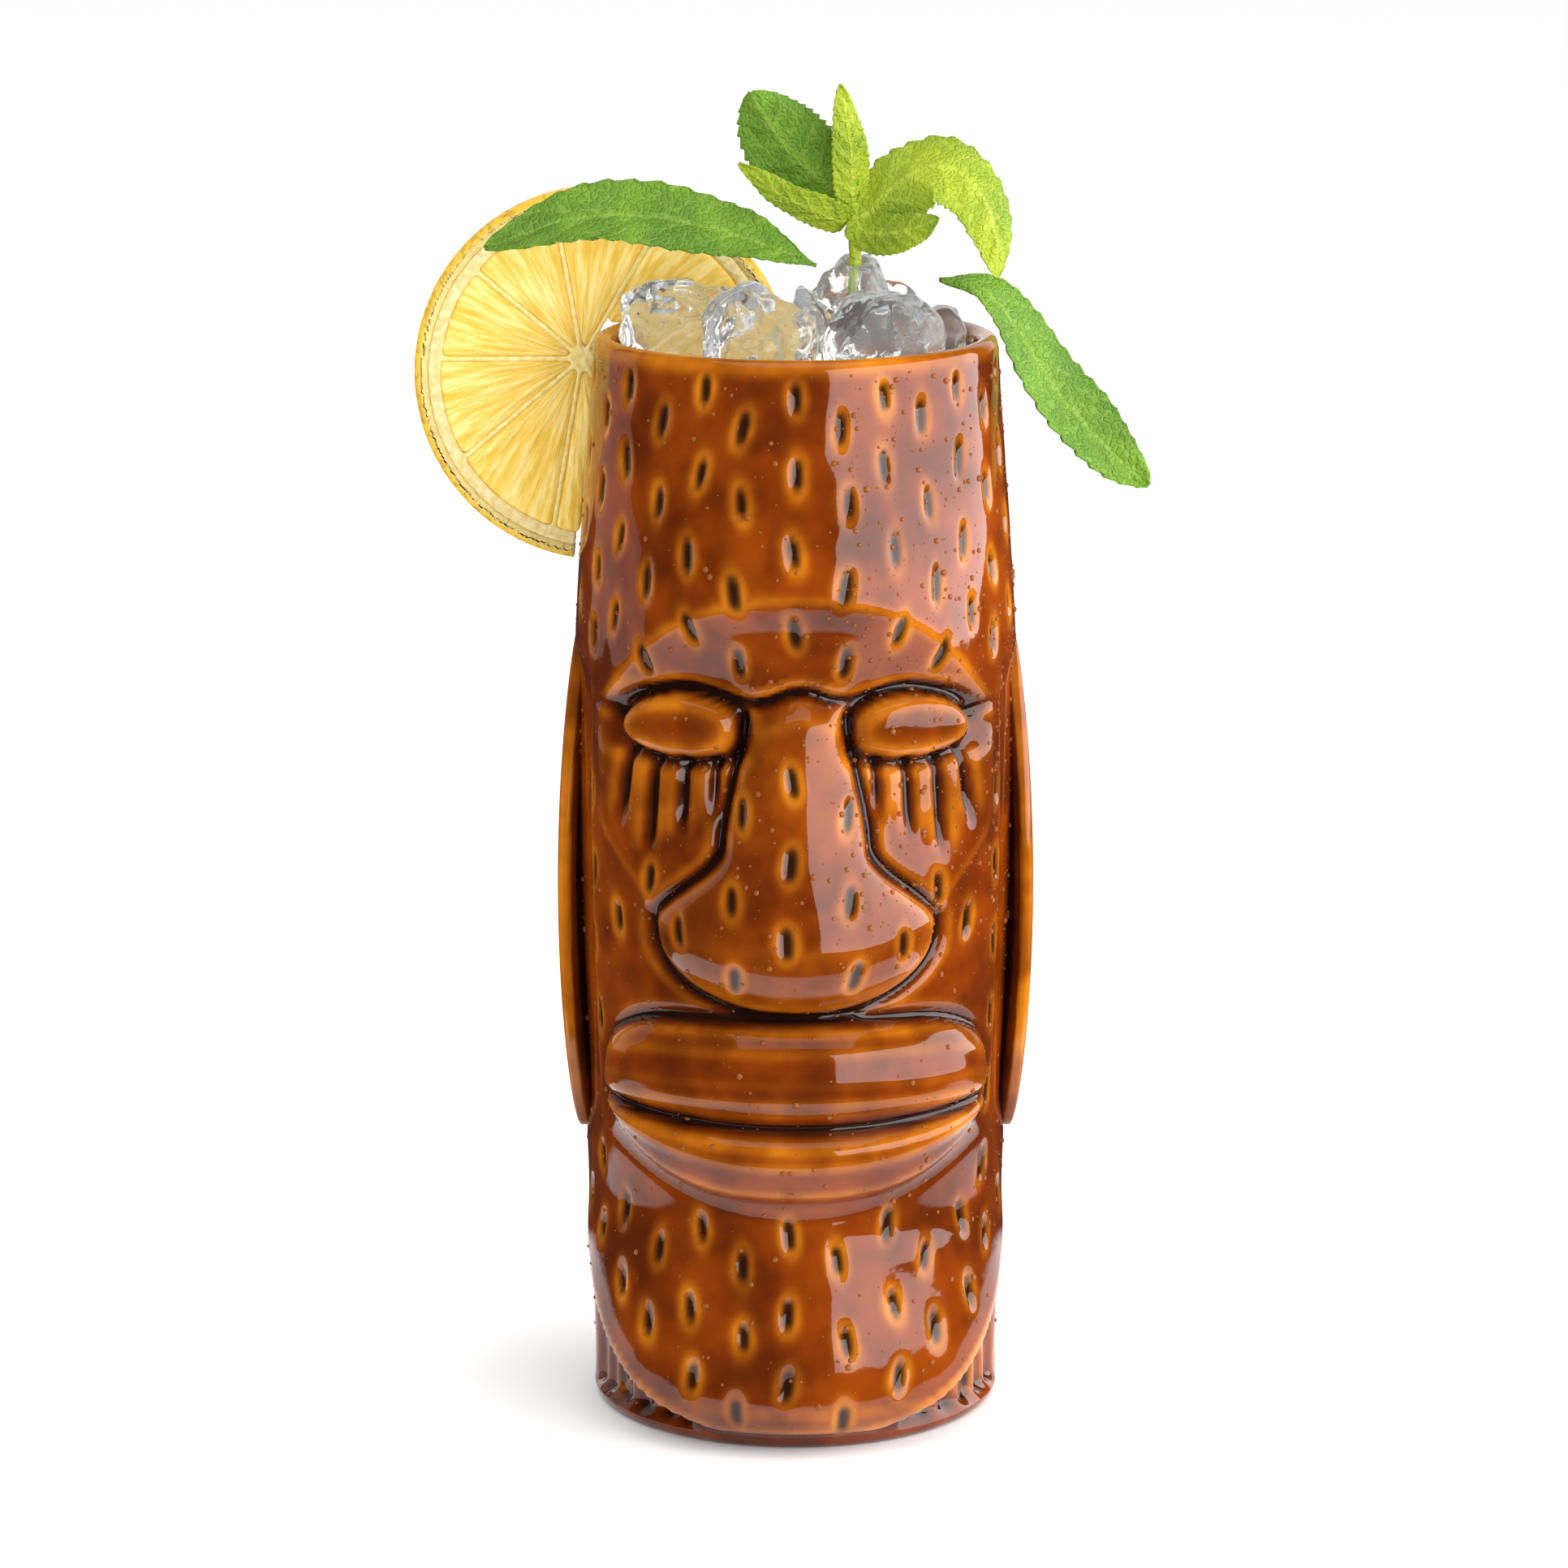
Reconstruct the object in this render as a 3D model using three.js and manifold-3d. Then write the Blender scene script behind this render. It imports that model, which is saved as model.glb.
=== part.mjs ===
// Tiki mug: a slip-cast, glazed stoneware head used as a tall cocktail mug, dressed for serving
// with crushed ice in its mouth, a slit lemon wheel on its lip and mint.
// Millimetres, +Z up. The face looks towards -Y and the origin is the centre of the foot.
import * as THREE from 'three';
import { mergeVertices } from 'three/addons/utils/BufferGeometryUtils.js';
import Module from 'manifold-3d';

const wasm = await Module();
wasm.setup();

const { clamp, lerp, smoothstep } = THREE.MathUtils;
const at = (x, y, z) => new THREE.Vector3(x, y, z);

// ---- Driving dimensions ----------------------------------------------------------------

const GAP = 0.3; // clearance kept between neighbouring pieces

// Mug shell
const MUG_HEIGHT = 170;
const FOOT_RADIUS = 32.1;
const RIM_RADIUS = 31.2;
const BELLY = 3.3; // how far the cheeks swell beyond the straight wall
const WALL = 3.4;
const FLOOR = 6;
const FOOT_ROUND = 2;
const FLOOR_ROUND = 5;
const MUG_COLUMNS = 60;
const FRONT_CROWDING = 0.38; // crowds the columns of the mesh on the face side
const FACE_ROW = 2.5; // height of a row of the mesh across the face
const PLAIN_ROW = 6.4; // and elsewhere
const INNER_ROW = 11; // and down the inside

// Face relief, in heights above the foot and distances from the face's middle line
const FACE_HALF = 28.5; // the brow's and the mouth's half width
const BROW_CREASE = 135.2; // the forehead swells down to this crease
const CREASE_DROP = 17.5; // the crease falls this much towards the temples
const FOREHEAD_FADE = 30; // the swell begins this far above the crease
const BROW_LINE = 118.3; // the brow's lower edge, under its arches
const ARCH_RISE = 2.3; // each arch of that edge
const EYE_ARCH = 7; // half width of the arch over an eye
const NOSE_ARCH = 5; // and over the nose
const BROW_DROOP = 2.6; // the edge drops this much at the temples
const FACET_SLOPE = 0.6; // the brow falls back this much for each millimetre it drops
const PROUD_SHARE = 0.6; // the share of that fall that stands out from the plain wall
const EYE_X = 17.8;
const EYE_Z = 114.2;
const EYE_HALF_WIDTH = 8.6;
const EYE_HALF_HEIGHT = 4.9;
const EYE_RISE = 2.3;
const BRIDGE_HALF = 11.4; // the nose's half width above its wings
const BRIDGE_TAPER = 3; // and how much narrower it is at the brow
const NOSTRIL_HALF = 21;
const NOSTRIL_Z = 82;
const NOSE_UNDER = 11.7; // the nose rounds under over this height below its wings
const NOSE_ROOT = -2.2;
const NOSE_TIP = 8.2;
const LIP_TOP = 69.4;
const LIP_RIDGE = 57.3;
const MOUTH_SLIT = 52.5;
const LOWER_LIP_FOOT = 45.5;
const LEDGE_FOOT = 41;
const LIP_CREASE = 37;
const LIP_RISE = 5.2;
const CHIN_Z = 7; // the jaw swells most at this height
const JAW_SWELL = 1.8;
const JAW_EDGE = 3; // the jaw's lower edge, at the chin
const JAW_EDGE_RISE = 23; // that edge is higher by this much at the sides
const NECK_DEPTH = 1.9; // the neck below that edge is sunk this much
const TEMPLE_DEPTH = 1; // the side wall beside each ear is sunk this much
const INNER_FOLLOW = 3.2; // the inside of the casting follows the sunk eyes by this much

// Ears
const EAR_BOTTOM = 43;
const EAR_TOP = 124;
const EAR_HALF_WIDTH = 8;
const EAR_STAND_OFF = 2.8; // how far an ear stands proud of the cheek
const EAR_HOLLOW = 0.9; // depth of the hollow in its outer face
const EAR_HOLLOW_INSET = 9; // the hollow stops this far short of both ends
const EAR_ROOT = 0.55 * WALL; // how deep an ear is rooted in the wall
const EAR_LOBE = 18; // the lowest part of an ear hangs free over this height
const EAR_POINT = 3; // and the highest over this
const EAR_TIP_OUT = 1; // both tips stand this far off the wall

// Lemon wheel
const WHEEL_RADIUS = 29.6;
const WHEEL_THICKNESS = 4.5;
const WHEEL_FRONT = 12; // distance of its near face behind the mug's axis
const WHEEL_OUT = 4.6; // its centre lies this far outside the lip
const PEEL = 1.9;
const PITH = 2.1;
const MEMBRANE = 0.9;
const CORE_RADIUS = 1.7;
const CORE_SHIFT = at(-3.2, 0, 2.6); // the core lies off the wheel's centre
const SEGMENTS = 9;
const SLIT_RISE = 8.6; // the slit passes the wheel's centre by this much
const SLIT_FLARE = 3.2; // extra slit width at the rind, outside the mug
const SLIT_ROUND = 1.5; // the slit's end is rounded like the lip in it
const FIRST_MEMBRANE = 0.35; // turn of the first membrane from the horizontal

// Crushed ice
const ICE_ROUGHNESS = 0.17;
const ICE_MOUTH = 27.8; // the lumps are laid out in a mouth of this radius and spread with it

// Mint
const SPRIG_X = 9.1;
const SPRIG_Y = 2;
const STEM_RADIUS = 1;
const STEM_FOOT = 2; // the stem's end, its bend and its top, in heights above the rim
const STEM_BEND = 15;
const STEM_TOP = 20;
const LEAF_THICKNESS = 0.7; // at the midrib
const LEAF_EDGE = 0.6; // an edge has this share of the midrib's thickness
const LEAF_TIP = 0.1; // and a tip this share of the leaf's width
const LEAF_FULLEST = 0.85; // below 1, a leaf is widest nearer its stalk than its tip
const LEAF_FOLD = 0.15; // rise of a leaf's halves for each millimetre from the midrib

// ---- Materials -------------------------------------------------------------------------

const finish = (color, roughness) => new THREE.MeshStandardMaterial({ color, roughness, metalness: 0 });

const glaze = () => finish(0x7a3c10, 0.08);
const rind = () => finish(0xf2cd2b, 0.45);
const pithWhite = () => finish(0xf6ecc0, 0.6);
const juice = () => finish(0xf0d35a, 0.2);
const clearIce = () => finish(0xdfe8ea, 0.05);
const youngLeaf = () => finish(0x7db423, 0.45);
const oldLeaf = () => finish(0x3f8a24, 0.45);

// ---- Solids and booleans ---------------------------------------------------------------

const toSolid = (geometry) => {
  const bare = geometry.clone();
  bare.deleteAttribute('normal');
  bare.deleteAttribute('uv');
  const merged = mergeVertices(bare, 1e-4);
  const vertProperties = new Float32Array(merged.attributes.position.array);
  const triVerts = new Uint32Array(merged.index.array);
  return new wasm.Manifold(new wasm.Mesh({ numProp: 3, vertProperties, triVerts }));
};

const toGeometry = (solid) => {
  const { vertProperties, triVerts, numProp } = solid.getMesh();
  const geometry = new THREE.BufferGeometry();
  const positions = new Float32Array(vertProperties);
  if (numProp !== 3) throw new Error('a solid carries positions only');
  geometry.setAttribute('position', new THREE.BufferAttribute(positions, 3));
  geometry.setIndex(new THREE.BufferAttribute(new Uint32Array(triVerts), 1));
  return geometry;
};

const largestPiece = (solid) => {
  const pieces = solid.decompose();
  return pieces.reduce((best, piece) => (piece.volume() > best.volume() ? piece : best));
};

const part = (name, solid, material) => {
  const mesh = new THREE.Mesh(toGeometry(solid), material);
  mesh.name = name;
  return mesh;
};

// ---- Mug -------------------------------------------------------------------------------

const outerRadius = (z) => {
  const t = z / MUG_HEIGHT;
  const swell = Math.max(0, Math.sin(Math.PI * t ** 1.357)) ** 1.3;
  return lerp(FOOT_RADIUS, RIM_RADIUS, t) + BELLY * swell;
};
const mouthRadius = RIM_RADIUS - WALL;

const within = (distance, soft, hard) => 1 - smoothstep(distance, soft, hard);
const bell = (distance, width) => Math.exp(-((distance / width) ** 2));
const ellipse = (x, z, halfX, halfZ) => Math.hypot(x / halfX, z / halfZ);

// The brow's lower edge arches over each eye and over the nose
const browLine = (x) => {
  const side = Math.abs(x);
  const arches = ARCH_RISE * (bell(side - EYE_X, EYE_ARCH) + bell(x, NOSE_ARCH));
  return BROW_LINE + arches - BROW_DROOP * smoothstep(side, FACE_HALF - 4.5, FACE_HALF + 2.5);
};

// Forehead above the crease, brow facet down to its lower edge, then the cheeks, which come
// forward again towards the mouth
const browAndCheeks = (x, z) => {
  const line = browLine(x);
  const arc = BROW_CREASE - CREASE_DROP * (Math.abs(x) / FACE_HALF) ** 2.4;
  const crease = Math.max(line + 0.4, arc);
  const fall = FACET_SLOPE * (crease - line);
  if (z > crease) return PROUD_SHARE * fall * within(z, crease - 2, crease + FOREHEAD_FADE);
  const sunk = (1 - PROUD_SHARE) * fall;
  if (z > line) return (fall * (z - line)) / (crease - line) - sunk;
  return -sunk * smoothstep(z, NOSTRIL_Z - 2, EYE_Z - 2);
};

const eye = (x, z) => {
  const distance = ellipse(Math.abs(x) - EYE_X, z - EYE_Z, EYE_HALF_WIDTH, EYE_HALF_HEIGHT);
  const pad = EYE_RISE * Math.sqrt(Math.max(0, 1 - distance ** 2.4));
  const grooveAt = EYE_HALF_HEIGHT * (distance - 1.2);
  return pad - 0.9 * bell(grooveAt, 1.3);
};

const noseHalf = (z) => {
  const bridge = BRIDGE_HALF - BRIDGE_TAPER * smoothstep(z, NOSTRIL_Z + 14, BROW_LINE);
  return lerp(bridge, NOSTRIL_HALF, within(z, NOSTRIL_Z + 1.5, NOSTRIL_Z + 14));
};

// How much of the surface belongs to the nose, and how far it stands out there
const nose = (x, z) => {
  const under = Math.max(0, NOSTRIL_Z - z) / NOSE_UNDER;
  const distance = Math.hypot(x / noseHalf(z), under);
  const down = clamp((BROW_LINE + 1.7 - z) / (BROW_LINE + 1.7 - NOSTRIL_Z), 0, 1);
  const ridge = Math.max(0, 1 - distance ** 2) ** 0.8;
  const belowBrow = within(z, browLine(x) - 2.6, browLine(x) - 0.6);
  return { share: ridge * belowBrow, push: lerp(NOSE_ROOT, NOSE_TIP, down ** 0.8) };
};

// Down the mouth: each step has its height at the middle, how that height bends towards the
// corners, and the share of LIP_RISE by which it stands out
const MOUTH_STEPS = [
  { z: LIP_TOP, bend: (across) => -(across ** 2) - 5 * across ** 8, out: -0.13 },
  { z: LIP_TOP - 3, bend: (across) => -(across ** 2) - 3 * across ** 8, out: 0.85 },
  { z: LIP_RIDGE, bend: (across) => -1.3 * across ** 2, out: 0.95 },
  { z: MOUTH_SLIT, bend: (across) => 1.6 * across ** 2, out: 0.12 },
  { z: MOUTH_SLIT - 2.4, bend: (across) => 4 * across ** 2, out: 0.83 },
  { z: LOWER_LIP_FOOT, bend: (across) => 7.7 * across ** 2.6, out: 0.71 },
  { z: LEDGE_FOOT, bend: (across) => 10.6 * across ** 3, out: 0.35 },
  { z: LIP_CREASE, bend: (across) => 9.5 * across ** 2, out: -0.08 },
];

const mouth = (x, z) => {
  const across = clamp(Math.abs(x) / FACE_HALF, 0, 1);
  const heights = MOUTH_STEPS.map((step) => step.z + step.bend(across));
  const lower = heights.findIndex((height) => z > height);
  if (lower <= 0 || Math.abs(x) > FACE_HALF) return { share: 0, push: 0 };
  const t = (heights[lower - 1] - z) / (heights[lower - 1] - heights[lower]);
  const out = lerp(MOUTH_STEPS[lower - 1].out, MOUTH_STEPS[lower].out, t);
  return { share: 1, push: LIP_RISE * out * Math.sqrt(1 - across ** 7) };
};

// The jaw stands out as a bib, low at the chin and high at the sides, over a sunk neck. Turns
// are in radians from the front
const jaw = (turn, z) => {
  const aside = Math.abs(turn);
  const edge = JAW_EDGE + JAW_EDGE_RISE * clamp((aside - 0.35) / 1.05, 0, 1.2) ** 1.5;
  const front = within(aside, 1.35, 1.6) * within(z, 30, 40);
  const bib = smoothstep(z, edge - 1.5, edge + 1.5);
  const neck = NECK_DEPTH * smoothstep(z, 1.4, 3.2) * smoothstep(aside, 0.45, 0.62);
  return front * (bib * JAW_SWELL * bell(z - CHIN_Z, 20) - (1 - bib) * neck);
};

// Outward push of the wall at a turn from the front, positive away from the axis
const relief = (turn, z) => {
  const aside = Math.abs(turn);
  const besideEar = smoothstep(z, EAR_BOTTOM - 1, EAR_BOTTOM + 7) * within(z, EAR_TOP - 8, EAR_TOP - 1);
  const temple = TEMPLE_DEPTH * besideEar * smoothstep(aside, 1.1, 1.3) * within(aside, 1.9, 2.1);
  const x = outerRadius(z) * Math.sin(turn);
  let push = browAndCheeks(x, z) + eye(x, z);
  [nose(x, z), mouth(x, z)].forEach((feature) => {
    push = lerp(push, feature.push, feature.share);
  });
  return smoothstep(Math.cos(turn), 0.1, 0.34) * push + jaw(turn, z) - temple;
};

const innerRelief = (turn, z) => {
  const behindFace = smoothstep(Math.cos(turn), 0.3, 0.7);
  return -INNER_FOLLOW * behindFace * smoothstep(z, 70, 95) * within(z, 125, 140);
};

const shellGeometry = () => {
  const profile = [new THREE.Vector2(0, 0)];
  const arc = (cx, cy, radius, from, to, steps) => {
    for (let step = 0; step <= steps; step += 1) {
      const turn = lerp(from, to, step / steps);
      profile.push(new THREE.Vector2(cx + radius * Math.cos(turn), cy + radius * Math.sin(turn)));
    }
  };
  const quarter = Math.PI / 2;
  arc(FOOT_RADIUS - FOOT_ROUND, FOOT_ROUND, FOOT_ROUND, -quarter, 0, 3);
  const lipRound = WALL / 2;
  let row = FOOT_ROUND + 3;
  while (row < MUG_HEIGHT - lipRound - 1) {
    profile.push(new THREE.Vector2(outerRadius(row), row));
    row += row > LIP_CREASE - 2 && row < BROW_CREASE + 1 ? FACE_ROW : PLAIN_ROW;
  }
  arc(RIM_RADIUS - lipRound, MUG_HEIGHT - lipRound, lipRound, 0, 2 * quarter, 6);
  for (let z = MUG_HEIGHT - INNER_ROW; z > FLOOR + FLOOR_ROUND; z -= INNER_ROW) {
    profile.push(new THREE.Vector2(outerRadius(z) - WALL, z));
  }
  arc(outerRadius(FLOOR) - WALL - FLOOR_ROUND, FLOOR + FLOOR_ROUND, FLOOR_ROUND, 0, -quarter, 3);
  profile.push(new THREE.Vector2(0, FLOOR));

  const geometry = new THREE.LatheGeometry(profile, MUG_COLUMNS).rotateX(Math.PI / 2);
  const spot = geometry.attributes.position;
  for (let index = 0; index < spot.count; index += 1) {
    const [x, y, z] = [spot.getX(index), spot.getY(index), spot.getZ(index)];
    const radius = Math.hypot(x, y);
    const even = Math.atan2(x, -y);
    const turn = even - FRONT_CROWDING * Math.sin(even);
    const isOuter = radius > outerRadius(z) - 0.01 && z > FOOT_ROUND && z < MUG_HEIGHT - lipRound;
    const isInner = radius < outerRadius(z) - 0.9 * WALL && z > FLOOR + FLOOR_ROUND;
    let pushed = radius;
    if (isOuter) pushed += relief(turn, z);
    if (isInner) pushed += innerRelief(turn, z);
    spot.setXYZ(index, pushed * Math.sin(turn), -pushed * Math.cos(turn), z);
  }
  return geometry;
};

// An ear is a slab seen from the front, cut to a long pointed oval seen from the side
const earSolid = (side) => {
  const middle = (EAR_TOP + EAR_BOTTOM) / 2;
  const widest = outerRadius(middle) + EAR_STAND_OFF;
  const embed = outerRadius(middle) - EAR_ROOT;
  const lowTip = outerRadius(EAR_BOTTOM) + EAR_TIP_OUT;
  const highTip = outerRadius(EAR_TOP) + EAR_TIP_OUT;
  const front = new THREE.Shape();
  front.moveTo(side * lowTip, EAR_BOTTOM);
  front.quadraticCurveTo(side * widest, EAR_BOTTOM + 12, side * widest, middle);
  front.quadraticCurveTo(side * widest, EAR_TOP - 10, side * highTip, EAR_TOP);
  front.lineTo(side * embed, EAR_TOP - EAR_POINT);
  front.lineTo(side * embed, EAR_BOTTOM + EAR_LOBE);
  const depth = 4 * EAR_HALF_WIDTH;
  const slab = new THREE.ExtrudeGeometry(front, { depth, bevelEnabled: false, curveSegments: 10 });
  slab.rotateX(Math.PI / 2).translate(0, depth / 2, 0);

  // round below and drawn out to a point above
  const ovalPrism = (halfWidth, inset, from, to) => {
    const bottom = EAR_BOTTOM + inset;
    const top = EAR_TOP - inset;
    const fullest = 1.2 * halfWidth;
    const oval = new THREE.Shape();
    oval.moveTo(0, bottom);
    oval.bezierCurveTo(halfWidth, bottom + 8, fullest, EAR_TOP - 30, 0, top);
    oval.bezierCurveTo(-fullest, EAR_TOP - 30, -halfWidth, bottom + 8, 0, bottom);
    const extrusion = { depth: to - from, bevelEnabled: false, curveSegments: 10 };
    const prism = new THREE.ExtrudeGeometry(oval, extrusion);
    // the outline's first axis becomes Y, its second Z, and the extrusion runs along +X
    prism.applyMatrix4(new THREE.Matrix4().makeBasis(at(0, 1, 0), at(0, 0, 1), at(1, 0, 0)));
    prism.translate(from, 0, 0);
    return toSolid(prism);
  };
  const [from, to] = side > 0 ? [20, 60] : [-60, -20];
  const ear = toSolid(slab).intersect(ovalPrism(1.35 * EAR_HALF_WIDTH, 0, from, to));
  const hollowAt = widest - EAR_HOLLOW;
  const [hollowFrom, hollowTo] = side > 0 ? [hollowAt, 60] : [-60, -hollowAt];
  return ear.subtract(ovalPrism(0.85 * EAR_HALF_WIDTH, EAR_HOLLOW_INSET, hollowFrom, hollowTo));
};

const mugBody = () => {
  const shell = toSolid(shellGeometry());
  return shell.add(earSolid(1)).add(earSolid(-1));
};

// ---- Lemon wheel -----------------------------------------------------------------------

const wheelBack = WHEEL_FRONT + WHEEL_THICKNESS;
const chord = (radius, y) => Math.sqrt(radius * radius - y * y);
const wallInnerX = -chord(mouthRadius, wheelBack);
const wallOuterX = -chord(RIM_RADIUS, WHEEL_FRONT);
const wheelCentre = at((wallInnerX + wallOuterX) / 2 - WHEEL_OUT, 0, MUG_HEIGHT + GAP - SLIT_RISE);
const coreCentre = wheelCentre.clone().add(CORE_SHIFT);

// A plate in the wheel's plane, with its outline given in X and Z
const plate = (shape, curveSegments = 12) => {
  const geometry = new THREE.ExtrudeGeometry(shape, {
    depth: WHEEL_THICKNESS,
    bevelEnabled: false,
    curveSegments,
  });
  geometry.rotateX(Math.PI / 2).translate(0, wheelBack, 0);
  return toSolid(geometry);
};

const disc = (centre, radius, curveSegments = 40) => {
  const shape = new THREE.Shape();
  shape.absarc(centre.x, centre.z, radius, 0, 2 * Math.PI);
  return plate(shape, curveSegments);
};

const wedge = (index, halfGap) => {
  const spread = (2 * Math.PI) / SEGMENTS;
  const start = index * spread + FIRST_MEMBRANE;
  const reach = 3 * WHEEL_RADIUS;
  const apexAway = halfGap / Math.sin(spread / 2);
  const apexX = coreCentre.x + apexAway * Math.cos(start + spread / 2);
  const apexZ = coreCentre.z + apexAway * Math.sin(start + spread / 2);
  const shape = new THREE.Shape();
  shape.moveTo(apexX, apexZ);
  shape.lineTo(apexX + reach * Math.cos(start), apexZ + reach * Math.sin(start));
  shape.lineTo(apexX + reach * Math.cos(start + spread), apexZ + reach * Math.sin(start + spread));
  return plate(shape);
};

const slitCut = () => {
  const bottom = wheelCentre.z - WHEEL_RADIUS - 2;
  const top = MUG_HEIGHT + GAP;
  const outer = -chord(outerRadius(bottom), WHEEL_FRONT) - GAP;
  const shape = new THREE.Shape();
  shape.moveTo(wallInnerX + 2 * GAP, bottom);
  shape.lineTo(wallInnerX + 2 * GAP, top - SLIT_ROUND);
  shape.quadraticCurveTo(wallInnerX, top, wallInnerX - SLIT_ROUND, top);
  shape.lineTo(wallOuterX, top);
  shape.quadraticCurveTo(wallOuterX - SLIT_ROUND, top, wallOuterX - SLIT_ROUND - GAP, top - 2 * SLIT_ROUND);
  shape.lineTo(outer - SLIT_FLARE, bottom);
  return plate(shape);
};

const lemonWheel = () => {
  const slit = slitCut();
  const pithRadius = WHEEL_RADIUS - PEEL - GAP;
  const pulpRadius = pithRadius - PITH - GAP;
  const core = disc(coreCentre, CORE_RADIUS, 16);
  const peel = disc(wheelCentre, WHEEL_RADIUS).subtract(disc(wheelCentre, pithRadius + GAP));
  const window = disc(wheelCentre, pulpRadius + GAP).subtract(core);
  const flesh = disc(wheelCentre, pulpRadius).subtract(disc(coreCentre, CORE_RADIUS + GAP, 16));

  let pith = disc(wheelCentre, pithRadius);
  const group = new THREE.Group();
  for (let index = 0; index < SEGMENTS; index += 1) {
    pith = pith.subtract(window.intersect(wedge(index, MEMBRANE / 2)));
    const pulp = flesh.intersect(wedge(index, MEMBRANE / 2 + GAP)).subtract(slit);
    group.add(part(`lemon_pulp_${index + 1}`, largestPiece(pulp), juice()));
  }
  group.add(part('lemon_peel', largestPiece(peel.subtract(slit)), rind()));
  group.add(part('lemon_pith', largestPiece(pith.subtract(slit)), pithWhite()));
  return group;
};

// ---- Crushed ice -----------------------------------------------------------------------

// Centres are measured from the middle of the rim, then come the half sizes of each lump
const ICE_LUMPS = [
  { name: 'ice_left', centre: at(-17, 2.5, 1), half: at(11.5, 8.5, 8) },
  { name: 'ice_front_left', centre: at(-6, -9, -0.5), half: at(10.5, 9, 9) },
  { name: 'ice_centre', centre: at(2.5, 2, -1), half: at(4.6, 7.5, 9) },
  { name: 'ice_top', centre: at(9.1, 3, 5.5), half: at(5.8, 5.6, 7.4) },
  { name: 'ice_front_right', centre: at(13.5, -8.5, 0), half: at(10.5, 9, 9) },
  { name: 'ice_right', centre: at(21.8, 4.5, -3), half: at(6, 8, 7) },
  { name: 'ice_back_right', centre: at(11, 18, -1), half: at(10, 8.5, 8) },
  { name: 'ice_back_left', centre: at(-9, 21.5, -4), half: at(11, 8.5, 7) },
  { name: 'ice_low_left', centre: at(-14, -4, -13), half: at(11, 10, 8) },
  { name: 'ice_low_front', centre: at(2, -16, -14), half: at(11, 10, 8) },
  { name: 'ice_low_right', centre: at(15, 2, -13), half: at(11, 10, 8) },
  { name: 'ice_low_middle', centre: at(0, 4, -14), half: at(9, 8, 7) },
];
const iceSpread = at(mouthRadius / ICE_MOUTH, mouthRadius / ICE_MOUTH, 1);
ICE_LUMPS.forEach((lump) => {
  lump.centre.multiply(iceSpread);
  lump.half.multiply(iceSpread);
});

// A repeatable rough number from 0 to 1 for a vertex of a lump
const roughAt = (a, b) => {
  const wave = Math.sin(a * 127.1 + b * 311.7) * 43758.5453;
  return wave - Math.floor(wave);
};

const roughLump = (lump, seed) => {
  const icosahedron = new THREE.IcosahedronGeometry(1, 1);
  icosahedron.deleteAttribute('normal');
  icosahedron.deleteAttribute('uv');
  const ball = mergeVertices(icosahedron, 1e-4);
  const spot = ball.attributes.position;
  for (let index = 0; index < spot.count; index += 1) {
    const swell = 1 + ICE_ROUGHNESS * (2 * roughAt(index, seed) - 1);
    spot.setXYZ(
      index,
      spot.getX(index) * swell * lump.half.x + lump.centre.x,
      spot.getY(index) * swell * lump.half.y + lump.centre.y,
      spot.getZ(index) * swell * lump.half.z + lump.centre.z + MUG_HEIGHT,
    );
  }
  return toSolid(ball);
};

const reachAlong = (lump, way) => at(
  lump.half.x * way.x,
  lump.half.y * way.y,
  lump.half.z * way.z,
).length();

// Neighbouring lumps share a flat crack, GAP wide, where they would run into each other
const cutByNeighbours = (solid, lump) => ICE_LUMPS.reduce((piece, other) => {
  if (other === lump) return piece;
  const apart = lump.centre.clone().sub(other.centre);
  const distance = apart.length();
  const way = apart.normalize();
  const own = reachAlong(lump, way);
  const theirs = reachAlong(other, way);
  if ((own + theirs) * (1 + ICE_ROUGHNESS) + GAP < distance) return piece;
  const crack = other.centre.clone().addScaledVector(way, (distance * theirs) / (own + theirs));
  crack.z += MUG_HEIGHT;
  return piece.trimByPlane([way.x, way.y, way.z], crack.dot(way) + GAP / 2);
}, solid);

const crushedIce = () => {
  const tall = 4 * MUG_HEIGHT;
  const mouth = new THREE.CylinderGeometry(mouthRadius - GAP, mouthRadius - GAP, tall, 48);
  const inMouth = toSolid(mouth.rotateX(Math.PI / 2));
  const wheelEnd = wheelCentre.x + WHEEL_RADIUS + GAP;
  const slot = new THREE.BoxGeometry(tall, WHEEL_THICKNESS + 2 * GAP, tall);
  slot.translate(wheelEnd - tall / 2, WHEEL_FRONT + WHEEL_THICKNESS / 2, 0);
  const stemHole = new THREE.CylinderGeometry(STEM_RADIUS + GAP, STEM_RADIUS + GAP, tall, 12);
  stemHole.rotateX(Math.PI / 2).translate(SPRIG_X, SPRIG_Y, stemBottom.z - GAP + tall / 2);
  const keepOut = toSolid(slot).add(toSolid(stemHole));
  const group = new THREE.Group();
  ICE_LUMPS.forEach((lump, index) => {
    const rough = cutByNeighbours(roughLump(lump, index + 1), lump);
    const placed = largestPiece(rough.intersect(inMouth).subtract(keepOut));
    group.add(part(lump.name, placed, clearIce()));
  });
  return group;
};

// ---- Mint ------------------------------------------------------------------------------

const stemBottom = at(SPRIG_X, SPRIG_Y, MUG_HEIGHT + STEM_FOOT);
const stemTop = at(SPRIG_X - GAP, SPRIG_Y, MUG_HEIGHT + STEM_TOP);

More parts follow.
